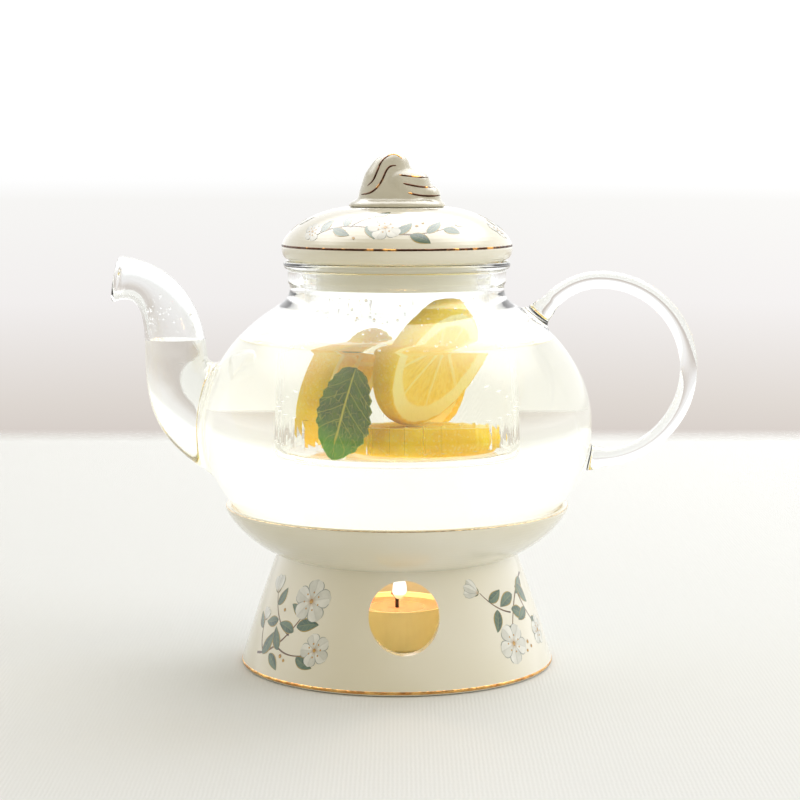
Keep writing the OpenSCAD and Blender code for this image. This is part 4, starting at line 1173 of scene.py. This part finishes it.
def shapeLeaf(name, values):
    # a grid is drawn in to a leaf's outline, with its tip at the origin and its stalk up
    obj = addPiece(name, bpy.ops.mesh.primitive_grid_add, x_subdivisions=24, y_subdivisions=72, size=1)
    places = []
    for vert in obj.data.vertices:
        s, t = vert.co.x * 2, vert.co.y + 0.5
        half = leafHalf(t, values["wide"])
        tooth = abs((t * mint["teeth"]) % 1.0 - 0.5) * 2
        half *= 1 + mint["tooth"] * (1 - tooth) * abs(s) ** 5
        vein = math.cos(2 * math.pi * (t * mint["veins"] + abs(s) * mint["lean"]))
        rise = -mint["pucker"] * vein * (1 - s ** 4) * min(1.0, abs(s) * 4)
        rise -= mint["groove"] * math.exp(-(s * half / 0.7) ** 2)
        vert.co = Vector((s * half, t * values["long"], rise)) * mm
        places.append((s, t, 0))
    storePlace(obj, "leafPlace", places)
    mergePoints(obj, 5e-6)
    modify(obj, "SOLIDIFY", thickness=mint["thick"] * mm, offset=0)
    return obj


def finishLeaf(obj, node):
    editMesh(obj)
    bpy.ops.mesh.normals_make_consistent(inside=False)
    leaveEdit()
    finishPiece(obj, 60, "infuser", "mint_leaf", leafFinish)
    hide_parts(node)


values = mint["front"]
leaf = shapeLeaf("mintLeafFront", values)
leaf.data.transform(Matrix.Rotation(math.radians(values["tilt"]), 4, "Z"))
for vert in leaf.data.vertices:
    x, y, rise = vert.co / mm
    depth = math.sqrt((values["radius"] + rise) ** 2 - x * x)
    vert.co = Vector((x, -depth, values["low"] + y)) * mm
leaf.data.transform(Matrix.Rotation(math.radians(values["round"]), 4, "Z"))
finishLeaf(leaf, "mint_leaf_front")

values = mint["back"]
leaf = shapeLeaf("mintLeafBack", values)
leaf.data.transform(slicePlace(slices["front"]) @ Matrix.Translation((0, 0, -values["under"] * mm))
                    @ Matrix.Rotation(math.radians(values["turn"]), 4, "Z"))
finishLeaf(leaf, "mint_leaf_back")
print("stage: mint leaves")

# The candle: thin metal cup, wax coloured orange-red as a painted flame glow, burnt wick and its flame.
# the wax colour is orange-red, a painted glow of the flame
candleLook = {"metal": (0.96, 0.95, 0.60), "metalDeep": (0.89, 0.87, 0.52), "wax": (0.80, 0.295, 0.165),
              "wick": (0.012, 0.010, 0.009), "ember": (1.0, 0.20, 0.02), "flutes": 48.0}
material, tree, shader, place = newMaterial("candleCup")
dull = mottled(tree, place, 55.0, 3.0)
parts = splitPoint(tree, place)
turned = maths(tree, "ARCTAN2", parts["Y"], parts["X"])
addBump(tree, shader, maths(tree, "SINE", times(tree, turned, candleLook["flutes"])), 0.12, 0.0003)
setInputs(tree, shader, {"Base Color": mixColour(tree, dull, candleLook["metalDeep"], candleLook["metal"]),
                         "Roughness": smoothStep(tree, dull, 0.0, 1.0, 0.38, 0.5), "Metallic": 0.12})
paint(nodes["candle_cup"], material)
paint(nodes["wick_tab"], material)

# the wax is painted orange-red, a painted flame glow
material, tree, shader, place = newMaterial("candleWaxPaintedGlow")
milky = mottled(tree, place, 70.0, low=0.3)
melted = flatLength(tree, splitPoint(tree, place))
milky = mixColour(tree, milky, shaded(candleLook["wax"], 0.9), candleLook["wax"])
setInputs(tree, shader, {"Base Color": milky, "Roughness": smoothStep(tree, melted, 0.009, 0.012, 0.12, 0.45),
                         "Subsurface Weight": 0.5, "Subsurface Scale": 0.004})
paint(nodes["candle_wax"], material)

material, tree, shader, place = newMaterial("burntWick")
plait = addNode(tree, "TexWave", {"Vector": place, "Scale": 700.0, "Distortion": 2.0},
                bands_direction="DIAGONAL").outputs["Fac"]
sooty = mixColour(tree, plait, candleLook["wick"], shaded(candleLook["wick"], 3))
hot = smoothStep(tree, splitPoint(tree, place)["Z"], 0.0235, 0.0252)
addBump(tree, shader, plait, 0.6, 0.0002)
setInputs(tree, shader, {"Base Color": sooty, "Emission Strength": 0.6, "Roughness": 0.85,
                         "Emission Color": mixColour(tree, hot, (0.0, 0.0, 0.0), candleLook["ember"])})
paint(nodes["candle_wick"], material)

flame = {"low": 22.6, "height": 8.8, "radius": 2.7, "middle": 0.5, "steps": 26, "strength": 1.35,
         "heart": (1.0, 0.97, 0.92), "edge": (1.0, 0.72, 0.36), "root": (1.0, 0.62, 0.28)}
profile = []
for i in range(flame["steps"] + 1):
    t = i / flame["steps"]
    full = min(1.0, (t / 0.3) ** 0.5) * (1 - t ** 4) ** 0.6
    profile.append((flame["radius"] * full if 0 < t < 1 else 0, flame["low"] + flame["height"] * t))
flamePiece = turnProfile("flame", profile, 32)
for vert in flamePiece.data.vertices:
    rise = max(0.0, vert.co.z / mm - flame["low"]) / flame["height"]
    vert.co.x += (flame["middle"] + 0.5 * math.sin(rise * 2.6)) * mm
material, tree, shader, place = newMaterial("candleFlame")
rise = smoothStep(tree, splitPoint(tree, place)["Z"], flame["low"] * mm,
                  (flame["low"] + flame["height"]) * mm)
glow = colourRamp(tree, rise, [(0.0, flame["root"]), (0.08, flame["edge"]), (0.2, flame["heart"]),
                               (0.85, flame["heart"]), (1.0, flame["edge"])])
setInputs(tree, shader, {"Base Color": (0.0, 0.0, 0.0), "Specular IOR Level": 0.0, "Emission Color": glow,
                         "Emission Strength": flame["strength"]})
finishPiece(flamePiece, 80, "candle", "wax", material)
flamePiece.visible_shadow = False

flameLight = {"place": (0.001, 0, 0.039), "size": 0.006, "power": 0.047, "colour": (1.0, 0.68, 0.38)}
lamp = addPiece("flameLight", bpy.ops.object.light_add, type="POINT", location=flameLight["place"])
lamp.data.energy = flameLight["power"]
lamp.data.color = flameLight["colour"]
lamp.data.shadow_soft_size = flameLight["size"]
print("stage: candle and flame")

for name in ("warmer_base", "warmer_dish", "lid_dome"):
    paint(nodes[name], porcelain)
